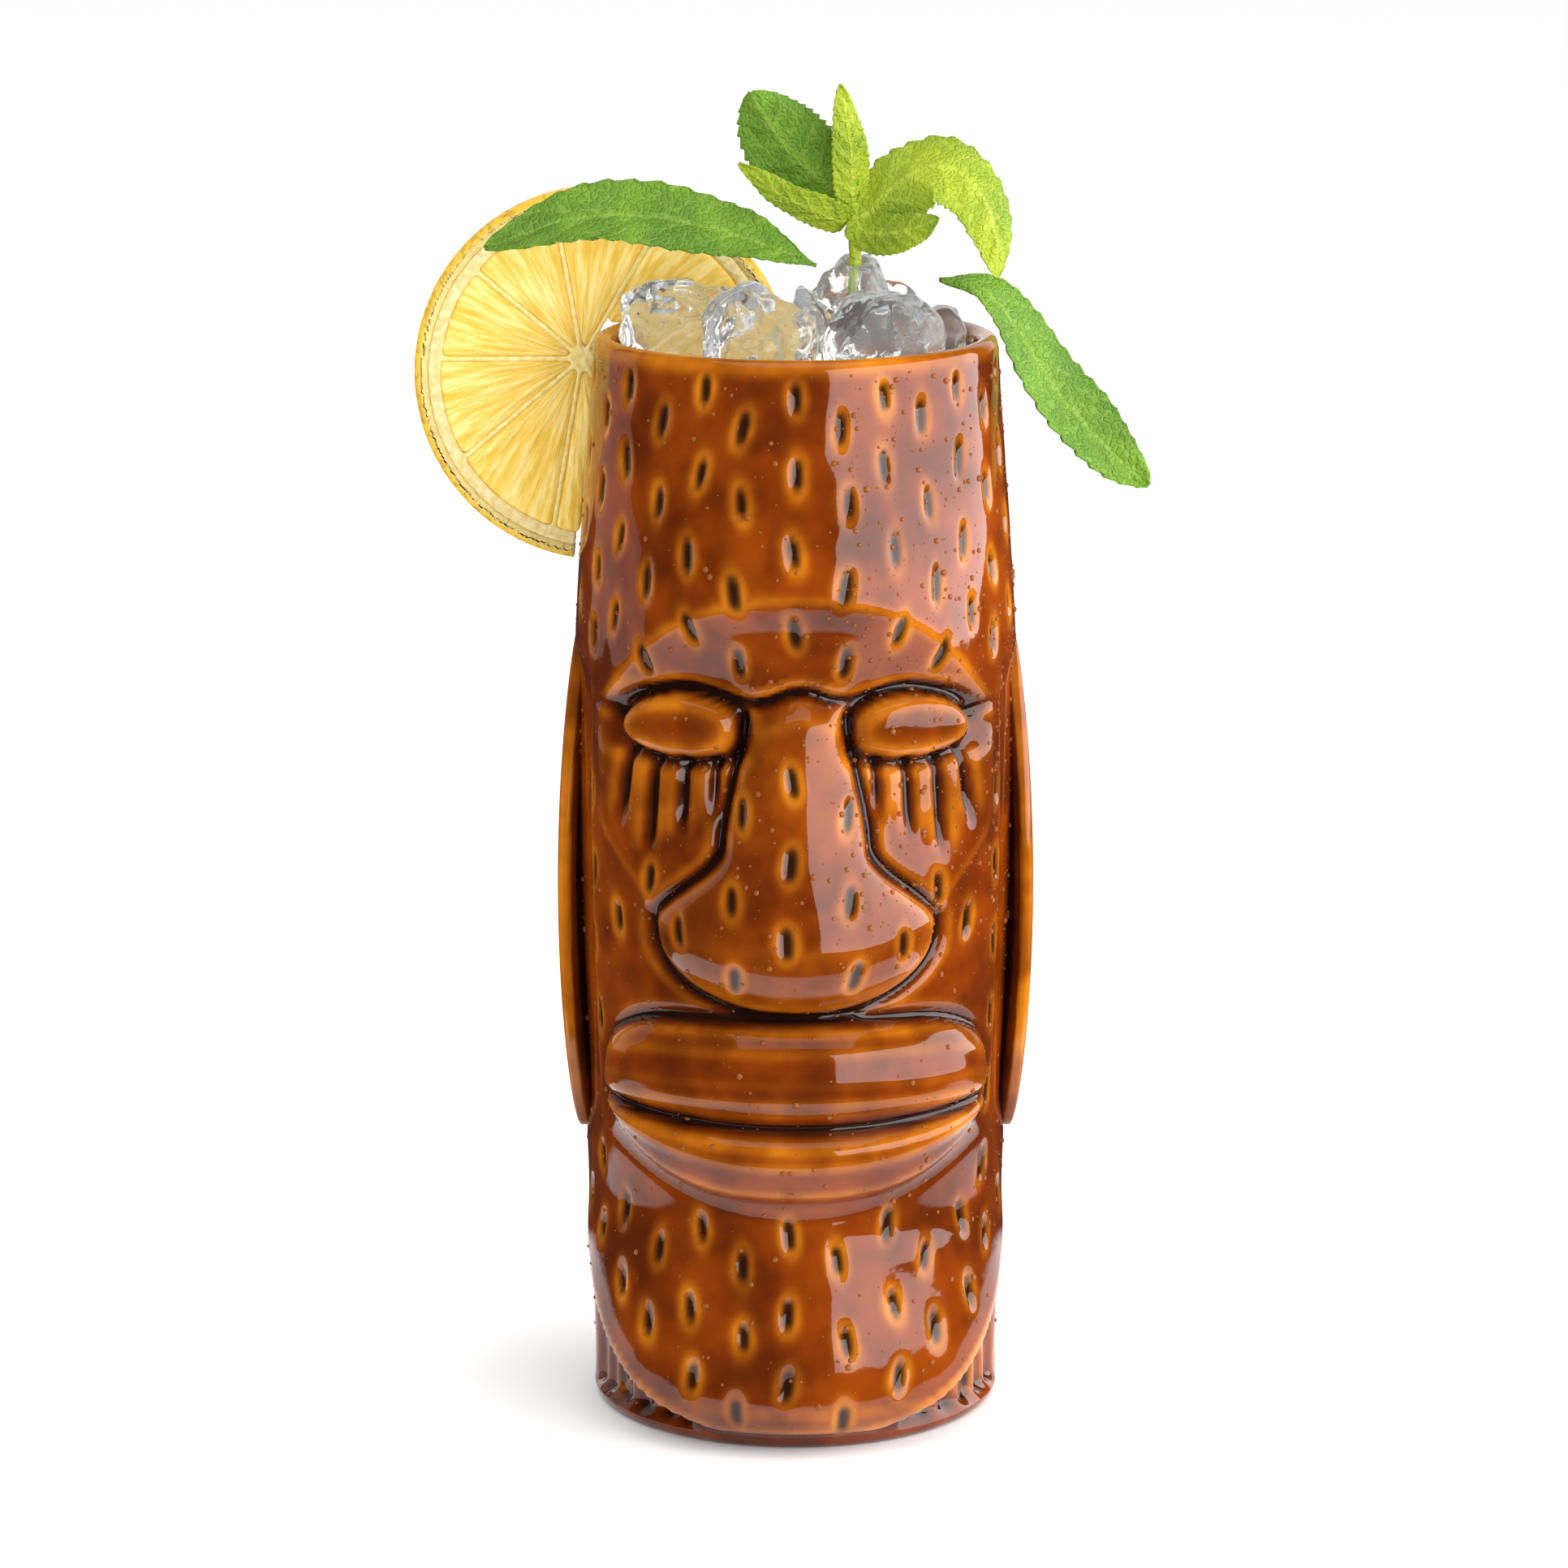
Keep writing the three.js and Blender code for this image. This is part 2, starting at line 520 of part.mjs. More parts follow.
const mintStem = () => {
  const outline = new THREE.Shape();
  outline.absarc(0, 0, STEM_RADIUS, 0, 2 * Math.PI);
  const straightEnd = stemBottom.clone().setZ(MUG_HEIGHT + STEM_BEND);
  const path = new THREE.CatmullRomCurve3([stemBottom, straightEnd, stemTop]);
  const stem = new THREE.ExtrudeGeometry(outline, { steps: 8, extrudePath: path, curveSegments: 8 });
  return part('mint_stem', toSolid(stem), youngLeaf());
};

// A leaf is a bent, pointed plate: it follows a spine, `across` points to its right-hand edge at
// the stalk and `acrossTip` at the tip, and its two halves are folded up about the midrib
const mintLeaf = ({ name, spine, width, across, acrossTip = across, material }) => {
  const curve = new THREE.CatmullRomCurve3(spine.map(([x, y, z]) => at(x, y, MUG_HEIGHT + z)));
  const plateGeometry = new THREE.BoxGeometry(1, 1, 1, 10, 2, 1);
  const spot = plateGeometry.attributes.position;
  for (let index = 0; index < spot.count; index += 1) {
    const along = spot.getX(index) + 0.5;
    const over = 2 * spot.getY(index);
    const through = spot.getZ(index);
    const fullness = Math.sin(Math.PI * along ** LEAF_FULLEST) ** 0.75;
    const half = (width / 2) * Math.max(LEAF_TIP, fullness);
    const ahead = curve.getTangent(along);
    const sideways = across.clone().lerp(acrossTip, along);
    sideways.addScaledVector(ahead, -sideways.dot(ahead)).normalize();
    const up = ahead.clone().cross(sideways);
    const thickness = LEAF_THICKNESS * lerp(1, LEAF_EDGE, Math.abs(over));
    const lift = LEAF_FOLD * half * Math.abs(over) + through * thickness;
    const place = curve.getPoint(along).addScaledVector(sideways, half * over).addScaledVector(up, lift);
    spot.setXYZ(index, place.x, place.y, place.z);
  }
  return part(name, toSolid(plateGeometry), material);
};

const rimRight = chord(RIM_RADIUS, 10); // where the right-hand leaf crosses the lip

const LEAVES = [
  {
    name: 'mint_leaf_top',
    spine: [[8.7, 2, 21], [8.6, 2, 26], [7.8, 1, 32], [6.7, 0, 38.2]],
    width: 6,
    across: at(1, 0.3, 0.1),
    material: youngLeaf(),
  },
  {
    name: 'mint_leaf_low_left',
    spine: [[7.2, 0.6, 17.2], [2.4, -2, 19.3], [-3.2, -3, 22.3], [-8.6, -3, 26.6]],
    width: 6,
    across: at(0.45, -0.5, 0.8),
    material: youngLeaf(),
  },
  {
    name: 'mint_leaf_upper_left',
    spine: [[5.6, 4.2, 21.6], [0.8, 5, 25.8], [-3.6, 5, 31], [-6.9, 3.6, 36.6]],
    width: 15,
    across: at(0.7, -0.25, 0.7),
    material: oldLeaf(),
  },
  {
    name: 'mint_leaf_back',
    spine: [[7.2, 4.2, 18.8], [5.6, 7, 20.6], [3.4, 9, 22.6], [0.6, 10.4, 23.6]],
    width: 6,
    across: at(0.6, 0.2, 0.8),
    material: oldLeaf(),
  },
  {
    name: 'mint_leaf_upper_right',
    spine: [
      [10.6, 1.6, 18], [15.6, 0, 23], [21.6, -1, 25.9],
      [27.4, -2, 22.8], [30.4, -3, 16], [30.9, -3, 9],
    ],
    width: 13.5,
    across: at(0.62, -0.3, -0.74),
    acrossTip: at(-0.9, -0.5, -0.1),
    material: youngLeaf(),
  },
  {
    name: 'mint_leaf_low_right',
    spine: [[10.7, 0.2, 15.6], [14.8, -3.4, 15.8], [18.5, -6, 17], [21.8, -8, 18.6]],
    width: 6.5,
    across: at(0.25, -0.5, -0.8),
    material: youngLeaf(),
  },
  {
    name: 'mint_leaf_left',
    spine: [
      [3.2, -5.2, 11.2], [-2.5, -5, 13.4], [-10, -3.5, 15.8], [-22.4, -2, 18.2],
      [-34.8, -3, 17.8], [-47.5, -5, 13.6],
    ],
    width: 12.5,
    across: at(0, -0.72, -0.7),
    material: oldLeaf(),
  },
  {
    name: 'mint_leaf_right',
    spine: [
      [rimRight - 7.2, 8.5, 7.2], [rimRight - 0.4, 9.4, 5.4], [rimRight + 5, 10.6, -0.8],
      [rimRight + 11.6, 12, -11], [rimRight + 19, 13, -19.5], [rimRight + 26.1, 14, -26.1],
    ],
    width: 12.5,
    across: at(0.3, 0.92, 0.1),
    acrossTip: at(0.7, 0.3, 0.6),
    material: oldLeaf(),
  },
];

// ---- Assembly --------------------------------------------------------------------------

const tikiMug = new THREE.Group();
tikiMug.add(part('mug_body', mugBody(), glaze()));
tikiMug.add(lemonWheel());
tikiMug.add(crushedIce());
tikiMug.add(mintStem());
LEAVES.forEach((leaf) => tikiMug.add(mintLeaf(leaf)));

export default tikiMug;
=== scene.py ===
import bmesh
import bpy
import numpy as np
import random
from math import atan2, cos, pi, radians, sin, sqrt
from mathutils import Matrix, Vector, noise


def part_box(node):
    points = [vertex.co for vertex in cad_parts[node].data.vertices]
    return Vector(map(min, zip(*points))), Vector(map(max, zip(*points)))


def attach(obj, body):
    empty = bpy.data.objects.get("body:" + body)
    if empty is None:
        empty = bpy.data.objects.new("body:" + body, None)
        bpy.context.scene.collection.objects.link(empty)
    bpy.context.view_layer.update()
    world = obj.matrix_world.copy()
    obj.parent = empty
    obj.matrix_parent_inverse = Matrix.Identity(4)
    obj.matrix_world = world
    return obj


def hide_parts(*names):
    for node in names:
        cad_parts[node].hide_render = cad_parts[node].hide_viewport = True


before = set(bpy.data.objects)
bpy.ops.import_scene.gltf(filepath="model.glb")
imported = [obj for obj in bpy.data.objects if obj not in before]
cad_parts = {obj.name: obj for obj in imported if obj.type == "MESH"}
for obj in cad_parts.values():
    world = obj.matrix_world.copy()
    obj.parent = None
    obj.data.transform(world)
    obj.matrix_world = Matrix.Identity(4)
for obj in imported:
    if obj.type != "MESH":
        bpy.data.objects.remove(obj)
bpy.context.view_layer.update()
MM = 0.001

# ---- Studio -------------------------------------------------------------------------------
# The mug stands on a seamless pale floor. The camera is a long portrait lens a little above
# the rim, looking down at the face.
LENS = 128.9
FILM_WIDTH = 36
EYE_POINT = (-1.8 * MM, -0.860, 0.289)
LOOKS_DOWN = 12.47
camera_data = bpy.data.cameras.new("portrait_lens")
camera_data.lens = LENS
camera_data.sensor_width = FILM_WIDTH
camera_data.clip_start = 0.01
camera_data.clip_end = 50
camera = bpy.data.objects.new("portrait_camera", camera_data)
camera.location = EYE_POINT
camera.rotation_euler = (radians(90 - LOOKS_DOWN), 0, 0)
bpy.context.collection.objects.link(camera)
bpy.context.scene.camera = camera
bpy.context.scene.view_settings.view_transform = "Standard"


class Sock:
    """A shader socket that takes part in Python arithmetic: each operator adds a Math node."""

    def __init__(self, bench, socket):
        self.bench, self.socket = bench, socket

    def math(self, operation, *others):
        values = {f"i{place}": value for place, value in enumerate((self, *others))}
        return self.bench.node("Math", {"operation": operation}, **values)

    def __add__(self, other):
        return self.math("ADD", other)

    __radd__ = __add__

    def __mul__(self, other):
        return self.math("MULTIPLY", other)

    __rmul__ = __mul__

    def __sub__(self, other):
        return self.math("SUBTRACT", other)

    def __rsub__(self, other):
        return self * -1 + other

    def __pow__(self, other):
        return self.math("POWER", other)

    def smooth(self, low, high):
        """0 below low, 1 above high, and an even ramp between."""
        smoothstep = {"interpolation_type": "SMOOTHSTEP"}
        return self.bench.node("MapRange", smoothstep, out="Result", Value=self, From_Min=low, From_Max=high)


class Bench:
    """A node tree, and the one way in which nodes are put on it."""

    def __init__(self, tree):
        self.tree = tree

    def node(self, kind, settings=None, out=0, **sockets):
        """Adds a node: its settings first, then the values or links of its sockets."""
        made = self.tree.nodes.new("ShaderNode" + kind)
        for key, value in (settings or {}).items():
            if key == "stops":
                self.set_stops(made.color_ramp.elements, value)
            else:
                setattr(made, key, value)
        for key, value in sockets.items():
            numbered = key[0] == "i" and key[1:].isdigit()
            self.give(made.inputs[int(key[1:]) if numbered else key.replace("_", " ")], value)
        return Sock(self, made.outputs[out])

    def set_stops(self, elements, stops):
        while len(elements) < len(stops):
            elements.new(0.5)
        for element, (spot, colour) in zip(elements, stops):
            element.position = spot
            element.color = (*colour, 1)

    def give(self, place, value):
        """Links a socket, or sets it."""
        if isinstance(value, Sock):
            self.tree.links.new(value.socket, place)
        else:
            place.default_value = value


class Finish(Bench):
    """A procedural material: its own node tree around one Principled shader."""

    def __init__(self, name, **constants):
        self.material = bpy.data.materials.new(name)
        self.material.use_nodes = True
        super().__init__(self.material.node_tree)
        self.shader = self.tree.nodes["Principled BSDF"]
        self.feed(**constants)

    def feed(self, **sockets):
        """Sets or links sockets of the shader."""
        for name, value in sockets.items():
            self.give(self.shader.inputs[name.replace("_", " ")], value)
        return self.material

    def place(self):
        return self.node("TexCoord", out="Object")

    def offset_from(self, x, y, z):
        """The place on the object, counted from a point of it in mm."""
        point = (x * MM, y * MM, z * MM)
        return self.node("VectorMath", {"operation": "SUBTRACT"}, i0=self.place(), i1=point)

    def distance_on_face(self, x, z):
        """Distance from an axis that runs along Y through a point in mm."""
        flat = self.node("VectorMath", {"operation": "MULTIPLY"}, i0=self.offset_from(x, 0, z), i1=(1, 0, 1))
        return self.node("VectorMath", {"operation": "LENGTH"}, out="Value", i0=flat)

    def attribute(self, name):
        return self.node("Attribute", {"attribute_name": name}, out="Fac")

    def noise(self, scale, detail=3.0, where=None, roughness=0.5):
        where = where or self.place()
        return self.node("TexNoise", Scale=scale, Detail=detail, Vector=where, Roughness=roughness)

    def ramp(self, value, *stops):
        return self.node("ValToRGB", {"stops": stops}, Fac=value)

    def mix(self, factor, first, second, blend="MIX"):
        return self.node(
            "Mix", {"data_type": "RGBA", "blend_type": blend}, out=2, i0=factor,
            i6=first if isinstance(first, Sock) else (*first, 1),
            i7=second if isinstance(second, Sock) else (*second, 1),
        )

    def bump(self, height, distance, strength=1.0):
        return self.node("Bump", Height=height, Distance=distance, Strength=strength)


# Floor: a wide matt sheet. Mirror-like pieces see only its nearest part bright, as on a light
# table that is wide but not deep, so that the glaze keeps its depth of colour.
FLOOR_REACH = 12.0
LIGHT_TABLE = (0.165, 0.088)
floor_mesh = bmesh.new()
bmesh.ops.create_circle(floor_mesh, cap_ends=True, segments=96, radius=FLOOR_REACH)
floor_data = bpy.data.meshes.new("floor")
floor_mesh.to_mesh(floor_data)
floor = bpy.data.objects.new("floor", floor_data)
bpy.context.collection.objects.link(floor)

floor_paint = Finish(
    "pale_floor", Base_Color=(0.93, 0.93, 0.93, 1), Roughness=0.9, Specular_IOR_Level=0.1,
)
on_table = floor_paint.node(
    "VectorMath", {"operation": "DIVIDE"}, i0=floor_paint.place(), i1=(*LIGHT_TABLE, 1),
)
from_mug = floor_paint.node("VectorMath", {"operation": "LENGTH"}, out="Value", i0=on_table)
mirrored = floor_paint.node("LightPath", out="Is Glossy Ray")
seen_through = floor_paint.node("LightPath", out="Is Transmission Ray")
unlit = floor_paint.node("Emission", Color=(0.03, 0.028, 0.028, 1), Strength=1.0)
off_table = from_mug.smooth(1.0, 1.1) * (mirrored * (1 - seen_through))
paper = Sock(floor_paint, floor_paint.shader.outputs[0])
floor_look = floor_paint.node("MixShader", i0=off_table, i1=paper, i2=unlit)
floor_paint.give(floor_paint.tree.nodes["Material Output"].inputs[0], floor_look)
floor_data.materials.append(floor_paint.material)

# Room: white all round for plain sight and soft light, dark in mirror reflections except for
# the white paper behind the mug.
ROOM_LIGHT = 1.08
world = bpy.data.worlds.new("studio")
world.use_nodes = True
bpy.context.scene.world = world
room = Bench(world.node_tree)
room_shader = world.node_tree.nodes["Background"]
room_shader.inputs["Color"].default_value = (1, 1, 1, 1)
through_ice = room.node("LightPath", out="Is Transmission Ray")
room_mirrored = room.node("LightPath", out="Is Glossy Ray") * (1 - through_ice)
way = room.node("TexCoord", out="Generated")
behind = room.node("SeparateXYZ", out="Y", Vector=way).smooth(0.72, 0.9)
brightness = (1 - room_mirrored) * ROOM_LIGHT + room_mirrored * (behind + 0.02)
room.give(room_shader.inputs["Strength"], brightness)


def softbox(name, azimuth, distance, height, width, tall, radiance):
    """A rectangular lamp that faces the mug; azimuth 0 is behind the camera, 90 the right."""
    lamp = bpy.data.lights.new(name, "AREA")
    lamp.shape = "RECTANGLE"
    lamp.size, lamp.size_y = width, tall
    lamp.energy = radiance * pi * width * tall
    holder = bpy.data.objects.new(name, lamp)
    spot = Vector((distance * sin(radians(azimuth)), -distance * cos(radians(azimuth)), height))
    holder.location = spot
    holder.rotation_euler = (spot - Vector((0, 0, 0.1))).to_track_quat("Z", "Y").to_euler()
    holder.visible_camera = False
    bpy.context.collection.objects.link(holder)


softbox("key_right", 71, 0.75, 0.16, 2.0, 1.0, 3.7)
softbox("strip_left", -118, 0.8, 0.2, 0.45, 1.0, 0.42)
softbox("top_soft", 0, 0.25, 1.2, 1.0, 1.0, 1.0)

# ---- Mug ----------------------------------------------------------------------------------
# One slip-cast stoneware casting: a tall head with its face, ears and chiselled pits cast in,
# under a thick amber glaze that pools dark in the hollows and breaks light on the edges.
MUG_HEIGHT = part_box("mug_body")[1].z / MM
FOOT_RADIUS = 32.1
RIM_RADIUS = 31.2
BELLY = 3.3
WALL = 3.4
FLOOR_THICK = 6.0
FOOT_ROUND = 2.0
FLOOR_ROUND = 5.0
# The inner side of the wall follows the sunk eyes by this much.
BEHIND_EYES = 3.2

# The skin is spun in this many columns, crowded towards the face, and its rows are closer
# together where the face is.
COLUMNS = 372
FRONT_CROWDING = 0.38
FACE_ROWS = (36, 137)
FACE_STEP = 0.62
PLAIN_STEP = 0.98

# The face, in mm across from its middle line and up from the foot
FACE_HALF = 28.5
BROW_Z = 118.3
BROW_ARCH = 2.3
EYE_ARCH = 7.0
NOSE_ARCH = 5.0
BROW_DROOP = 2.6
CREASE_Z = 135.2
CREASE_DROP = 17.5
FOREHEAD_FADE = 30.0
FACET_SLOPE = 0.62
PROUD_SHARE = 0.6
EYE_X = 17.8
EYE_Z = 114.2
EYE_HALF = (8.6, 4.9)
PAD_PROUD = 2.1
PANEL_HALF = 30.4
PANEL_NARROWS = 9.5
BRIDGE_HALF = 11.4
BRIDGE_TAPER = 3.0
NOSTRIL_HALF = 21.0
NOSTRIL_Z = 82.0
NOSE_UNDER = 11.7
NOSE_ROOT = -2.2
NOSE_TIP = 8.2
MOUTH_HALF = 28.6
BIB_BOTTOM = 3.0
BIB_RISE = 23.0


def outer_radius(z):
    t = z / MUG_HEIGHT
    swell = np.maximum(0, np.sin(pi * np.maximum(t, 0) ** 1.357)) ** 1.3
    return FOOT_RADIUS + (RIM_RADIUS - FOOT_RADIUS) * t + BELLY * swell


def ramp_up(value, low, high):
    t = np.clip((value - low) / (high - low), 0, 1)
    return t * t * (3 - 2 * t)


def ramp_down(value, low, high):
    return 1 - ramp_up(value, low, high)


def groove(distance, width):
    return np.exp(-((distance / width) ** 2))


def brow_line(x):
    """Height of the brow's lower edge: an arch over each eye and one over the nose."""
    side = np.abs(x)
    arches = BROW_ARCH * (groove(side - 18, EYE_ARCH) + groove(x - 0.8, NOSE_ARCH))
    return BROW_Z + arches - BROW_DROOP * ramp_up(side, 24, 31)


def nose_distance(x, z):
    """0 along the nose's ridge and 1 on its outline: straight sides, wide wings, round below."""
    half = BRIDGE_HALF - BRIDGE_TAPER * ramp_up(z, NOSTRIL_Z + 14, BROW_Z)
    half = half + (NOSTRIL_HALF - half) * ramp_down(z, NOSTRIL_Z + 1.5, NOSTRIL_Z + 14)
    under = np.maximum(0, NOSTRIL_Z - z) / NOSE_UNDER
    return np.hypot(np.abs(x) / half, under), half


def eye_distance(side, z):
    """0 in the middle of the eye and 1 on its outline, an oval that bends down at both ends."""
    across = side - EYE_X
    return np.hypot(across / EYE_HALF[0], (z - EYE_Z + 0.012 * across**2) / EYE_HALF[1])


# The mouth from its top edge down: level 0 is the top of the upper lip, 1 its ridge, 2 the
# slit, 3 the foot of the lower lip, 4 the foot of the ledge under it, 5 the crease below.
LIP_LEVELS = (0, 0.10, 0.35, 0.75, 1.0, 1.5, 1.93, 2.0, 2.1, 2.4, 2.8, 3.0, 3.1, 3.85, 4.1, 5.0)
LIP_PUSH = (-0.7, 1.8, 4.2, 5.2, 5.0, 3.4, 1.4, 0.6, 2.2, 4.3, 4.5, 3.7, 3.3, 2.3, 1.0, -0.4)


def mouth(x, z):
    """Push of the lips, and the heights at which their levels change."""
    a = np.clip(np.abs(x) / MOUTH_HALF, 0, 1)
    edges = (
        69.4 - 1.0 * a**2 - 5.0 * a**8, 57.3 - 1.3 * a**2, 52.5 + 1.6 * a**2,
        45.5 + 7.7 * a**2.6, 41.0 + 10.6 * a**3, 37.0 + 9.5 * a**2,
    )
    level = np.zeros_like(z)
    for upper, lower in zip(edges, edges[1:]):
        level += np.clip((upper - z) / (upper - lower), 0, 1)
    taper = np.maximum(0, 1 - a**7) ** 0.5
    return np.interp(level, LIP_LEVELS, LIP_PUSH) * taper, edges


def bib_edge(turn):
    """Height of the jaw's lower edge round the front: low at the chin, high at the sides."""
    return BIB_BOTTOM + BIB_RISE * np.clip((np.abs(turn) - 0.35) / 1.05, 0, 1.2) ** 1.5


# Grooves under the eye: how far from the middle line, the lower end, and the lean outwards
FLUTES = ((26.0, 98.6, 0.10), (22.2, 94.5, 0.03), (17.8, 97.5, 0.01), (13.2, 100.5, 0.0))


def face(x, z):
    """Outward push of the front of the shell, in mm, at x across and z up."""
    side = np.abs(x)
    # brow: the forehead swells to a crease, and a facet falls back from it to the eyes
    line = brow_line(x)
    crease = np.maximum(line + 0.4, CREASE_Z - CREASE_DROP * (side / FACE_HALF) ** 2.4)
    drop = FACET_SLOPE * (crease - line)
    sunk = (1 - PROUD_SHARE) * drop
    facet = drop * np.clip((z - line) / (crease - line), 0, 1) - sunk
    forehead = PROUD_SHARE * drop * ramp_down(z, crease - 2, crease + FOREHEAD_FADE)
    push = np.where(z > crease, forehead, facet)
    # between the brows the facet falls back less
    push += 0.17 * np.clip(129.5 - z, 0, 12) * ramp_down(np.abs(x + 0.4), 5, 12.5) * (z > line)
    # cheeks: the sunk eye level comes forward again towards the mouth
    push = np.where(z < line, -sunk * ramp_up(z, 80, 112), push)
    panel_edge = PANEL_HALF - PANEL_NARROWS * ramp_down(z, 81, 99)
    panel = ramp_down(side, panel_edge - 1, panel_edge + 1) * ramp_up(z, 81, 84)
    push += 0.6 * (panel * ramp_down(z, line - 2, line))
    push -= 0.8 * groove(z - line + 0.6, 0.8) * ramp_down(side, 27, 29.5)
    # eye: a flush almond pad in a groove that runs out to a point at its outer corner
    eye = eye_distance(side, z)
    push -= 1.4 * groove((eye - 1.17) * 5.2, 0.95) * ramp_down(z, line - 0.4, line + 0.6)
    wedge = groove(z - 113.4 - 0.5 * (side - 25), 3.0 - 0.55 * np.clip(side - 25, 0, 4.5))
    wedge *= ramp_up(side, 22, 25) * ramp_down(side, 28.2, 29.8)
    push -= 1.4 * wedge * ramp_up(eye, 1.0, 1.15)
    push += PAD_PROUD * np.maximum(0, 1 - eye**3.4) ** 0.5
    # flutes under the eye
    for flute, low, lean in FLUTES:
        fade = ramp_up(z, low - 2.5, low + 4) * ramp_down(z, 108.8, 110)
        push -= 1.5 * groove(side - flute + lean * (z - 106), 0.72) * fade
        push += 0.35 * groove(side - flute - 2.1, 1.5) * fade
    # nose: a bridge that widens to the wings and rounds under
    distance, half = nose_distance(x, z)
    rise = NOSE_ROOT + (NOSE_TIP - NOSE_ROOT) * np.clip((120 - z) / (120 - NOSTRIL_Z), 0, 1) ** 0.8
    inside = ramp_down(distance, 0.97, 1.0) * ramp_down(z, line - 5.0, line - 0.4)
    ridge = np.maximum(0, 1 - distance**2) ** 0.8
    push = push + inside * ((rise - push) * ridge)
    push -= 1.3 * groove((distance - 1.05) * half, 0.9) * ramp_down(z, 113.5, 118.5)
    # lips
    lips, edges = mouth(x, z)
    inside_lips = ramp_down(z, edges[0] - 0.2, edges[0] + 0.2) * ramp_up(z, edges[5] - 1, edges[5] + 1)
    inside_lips *= ramp_down(side, MOUTH_HALF - 0.4, MOUTH_HALF + 0.4)
    push = push * (1 - inside_lips) + lips * inside_lips
    push -= 0.7 * groove(z - edges[0] - 0.5, 0.8) * ramp_down(side, 24, 30)
    return push


def jaw(turn, z):
    """The jaw stands out as a bib; below its edge the neck is sunk and streaked."""
    edge = bib_edge(turn)
    front = ramp_down(np.abs(turn), 1.35, 1.6) * ramp_down(z, 30, 40)
    bib = ramp_up(z, edge - 0.9, edge + 0.9)
    chin = np.clip(1.5 - 0.9 * turn**2, 0, 1) * ramp_up(z, 2.5, 8)
    swell = 3.0 * groove(z - 7, 20) + 2.4 * np.clip((37 - z) / 29, 0, 1) * chin
    streaks = 0.45 * np.sin(np.abs(turn) * 34) * ramp_up(np.abs(turn), 0.5, 0.7)
    streaks *= ramp_down(z, 16, 20)
    sunk = (-1.9 + streaks) * ramp_up(z, 1.4, 3.2) * ramp_up(np.abs(turn), 0.45, 0.62)
    return front * (bib * swell + (1 - bib) * sunk)


# Chisel pits: distance between columns and between rows, half width and height, and depth
PIT_PITCH_X = 7.4
PIT_PITCH_Z = 11.8
PIT_HALF = (0.98, 2.6)
PIT_DEPTH = 0.62
TOP_PIT_Z = 165.2
pit_dice = random.Random(7)


def pits():
    """Chisel pits in staggered columns all round, left out where the face is smooth."""
    found = []
    count = round(2 * pi * 33 / PIT_PITCH_X / 2) * 2
    rows = int(MUG_HEIGHT / PIT_PITCH_Z) + 1
    for column in range(count):
        turn = (column - count // 2) * 2 * pi / count - 0.018
        for row in range(rows):
            z = TOP_PIT_Z - PIT_PITCH_Z * (row + 0.42 * (column % 2)) + pit_dice.uniform(-0.9, 0.9)
            off = pit_dice.uniform(-0.7, 0.7)
            tilt = pit_dice.uniform(-0.16, 0.16)
            size = pit_dice.uniform(0.85, 1.12)
            radius = float(outer_radius(np.array(z)))
            x = radius * sin(turn) + off
            on_face = cos(turn) > 0.15 and is_smooth(x, z)
            under_ear = abs(sin(turn)) > 0.955 and 40 < z < 127
            if z < 4 or on_face or under_ear:
                continue
            found.append((turn + off / radius, z, tilt, size))
    return found


def is_smooth(x, z):
    """Where the face is left without pits: round the eyes, nose outline, cheeks and mouth."""
    side, up = np.array(abs(x)), np.array(z)
    if abs(z - brow_line(x)) < 3.2 and side < 29:
        return True
    if eye_distance(side, up) < 1.75 or (11 < side < 29 and 91 < z < 113):
        return True
    distance, half = nose_distance(side, up)
    if abs(distance - 1) * half < 2.6 and z < 120:
        return True
    if side < 30 and 35.5 + 0.013 * side * side < z < 74:
        return True
    turn = np.arcsin(min(0.99, side / 33))
    return abs(z - bib_edge(turn)) < 3 and turn > 0.45


pit_list = pits()


def pit_push(turn, z, radius):
    """Push of the pits, how dark the glaze pools in them, and how light it is round them."""
    push = np.zeros_like(z)
    dark = np.zeros_like(z)
    light = np.zeros_like(z)
    for pit_turn, pit_z, tilt, size in pit_list:
        near = np.where((np.abs(z - pit_z) < 7) & (np.abs(turn - pit_turn) < 0.16))[0]
        if not len(near):
            continue
        dx = (turn[near] - pit_turn) * radius[near]
        dz = z[near] - pit_z
        u = (dx + tilt * dz) / (PIT_HALF[0] * size)
        v = dz / (PIT_HALF[1] * size)
        distance = np.sqrt(u * u + np.abs(v) ** 3.6)
        ring_distance = np.hypot((dx + tilt * dz) / 2.3, dz / 4.3)
        push[near] -= PIT_DEPTH * np.exp(-(distance**2.6))
        dark[near] = np.maximum(dark[near], np.exp(-((distance / 1.02) ** 4)))
        light[near] = np.maximum(light[near], groove(np.maximum(0, ring_distance - 0.48), 0.38))
    return push, dark, light


def arc_points(cx, cz, radius, start, end, steps):
    turns = [start + (end - start) * step / steps for step in range(steps + 1)]
    return [(cx + radius * cos(turn), cz + radius * sin(turn)) for turn in turns]


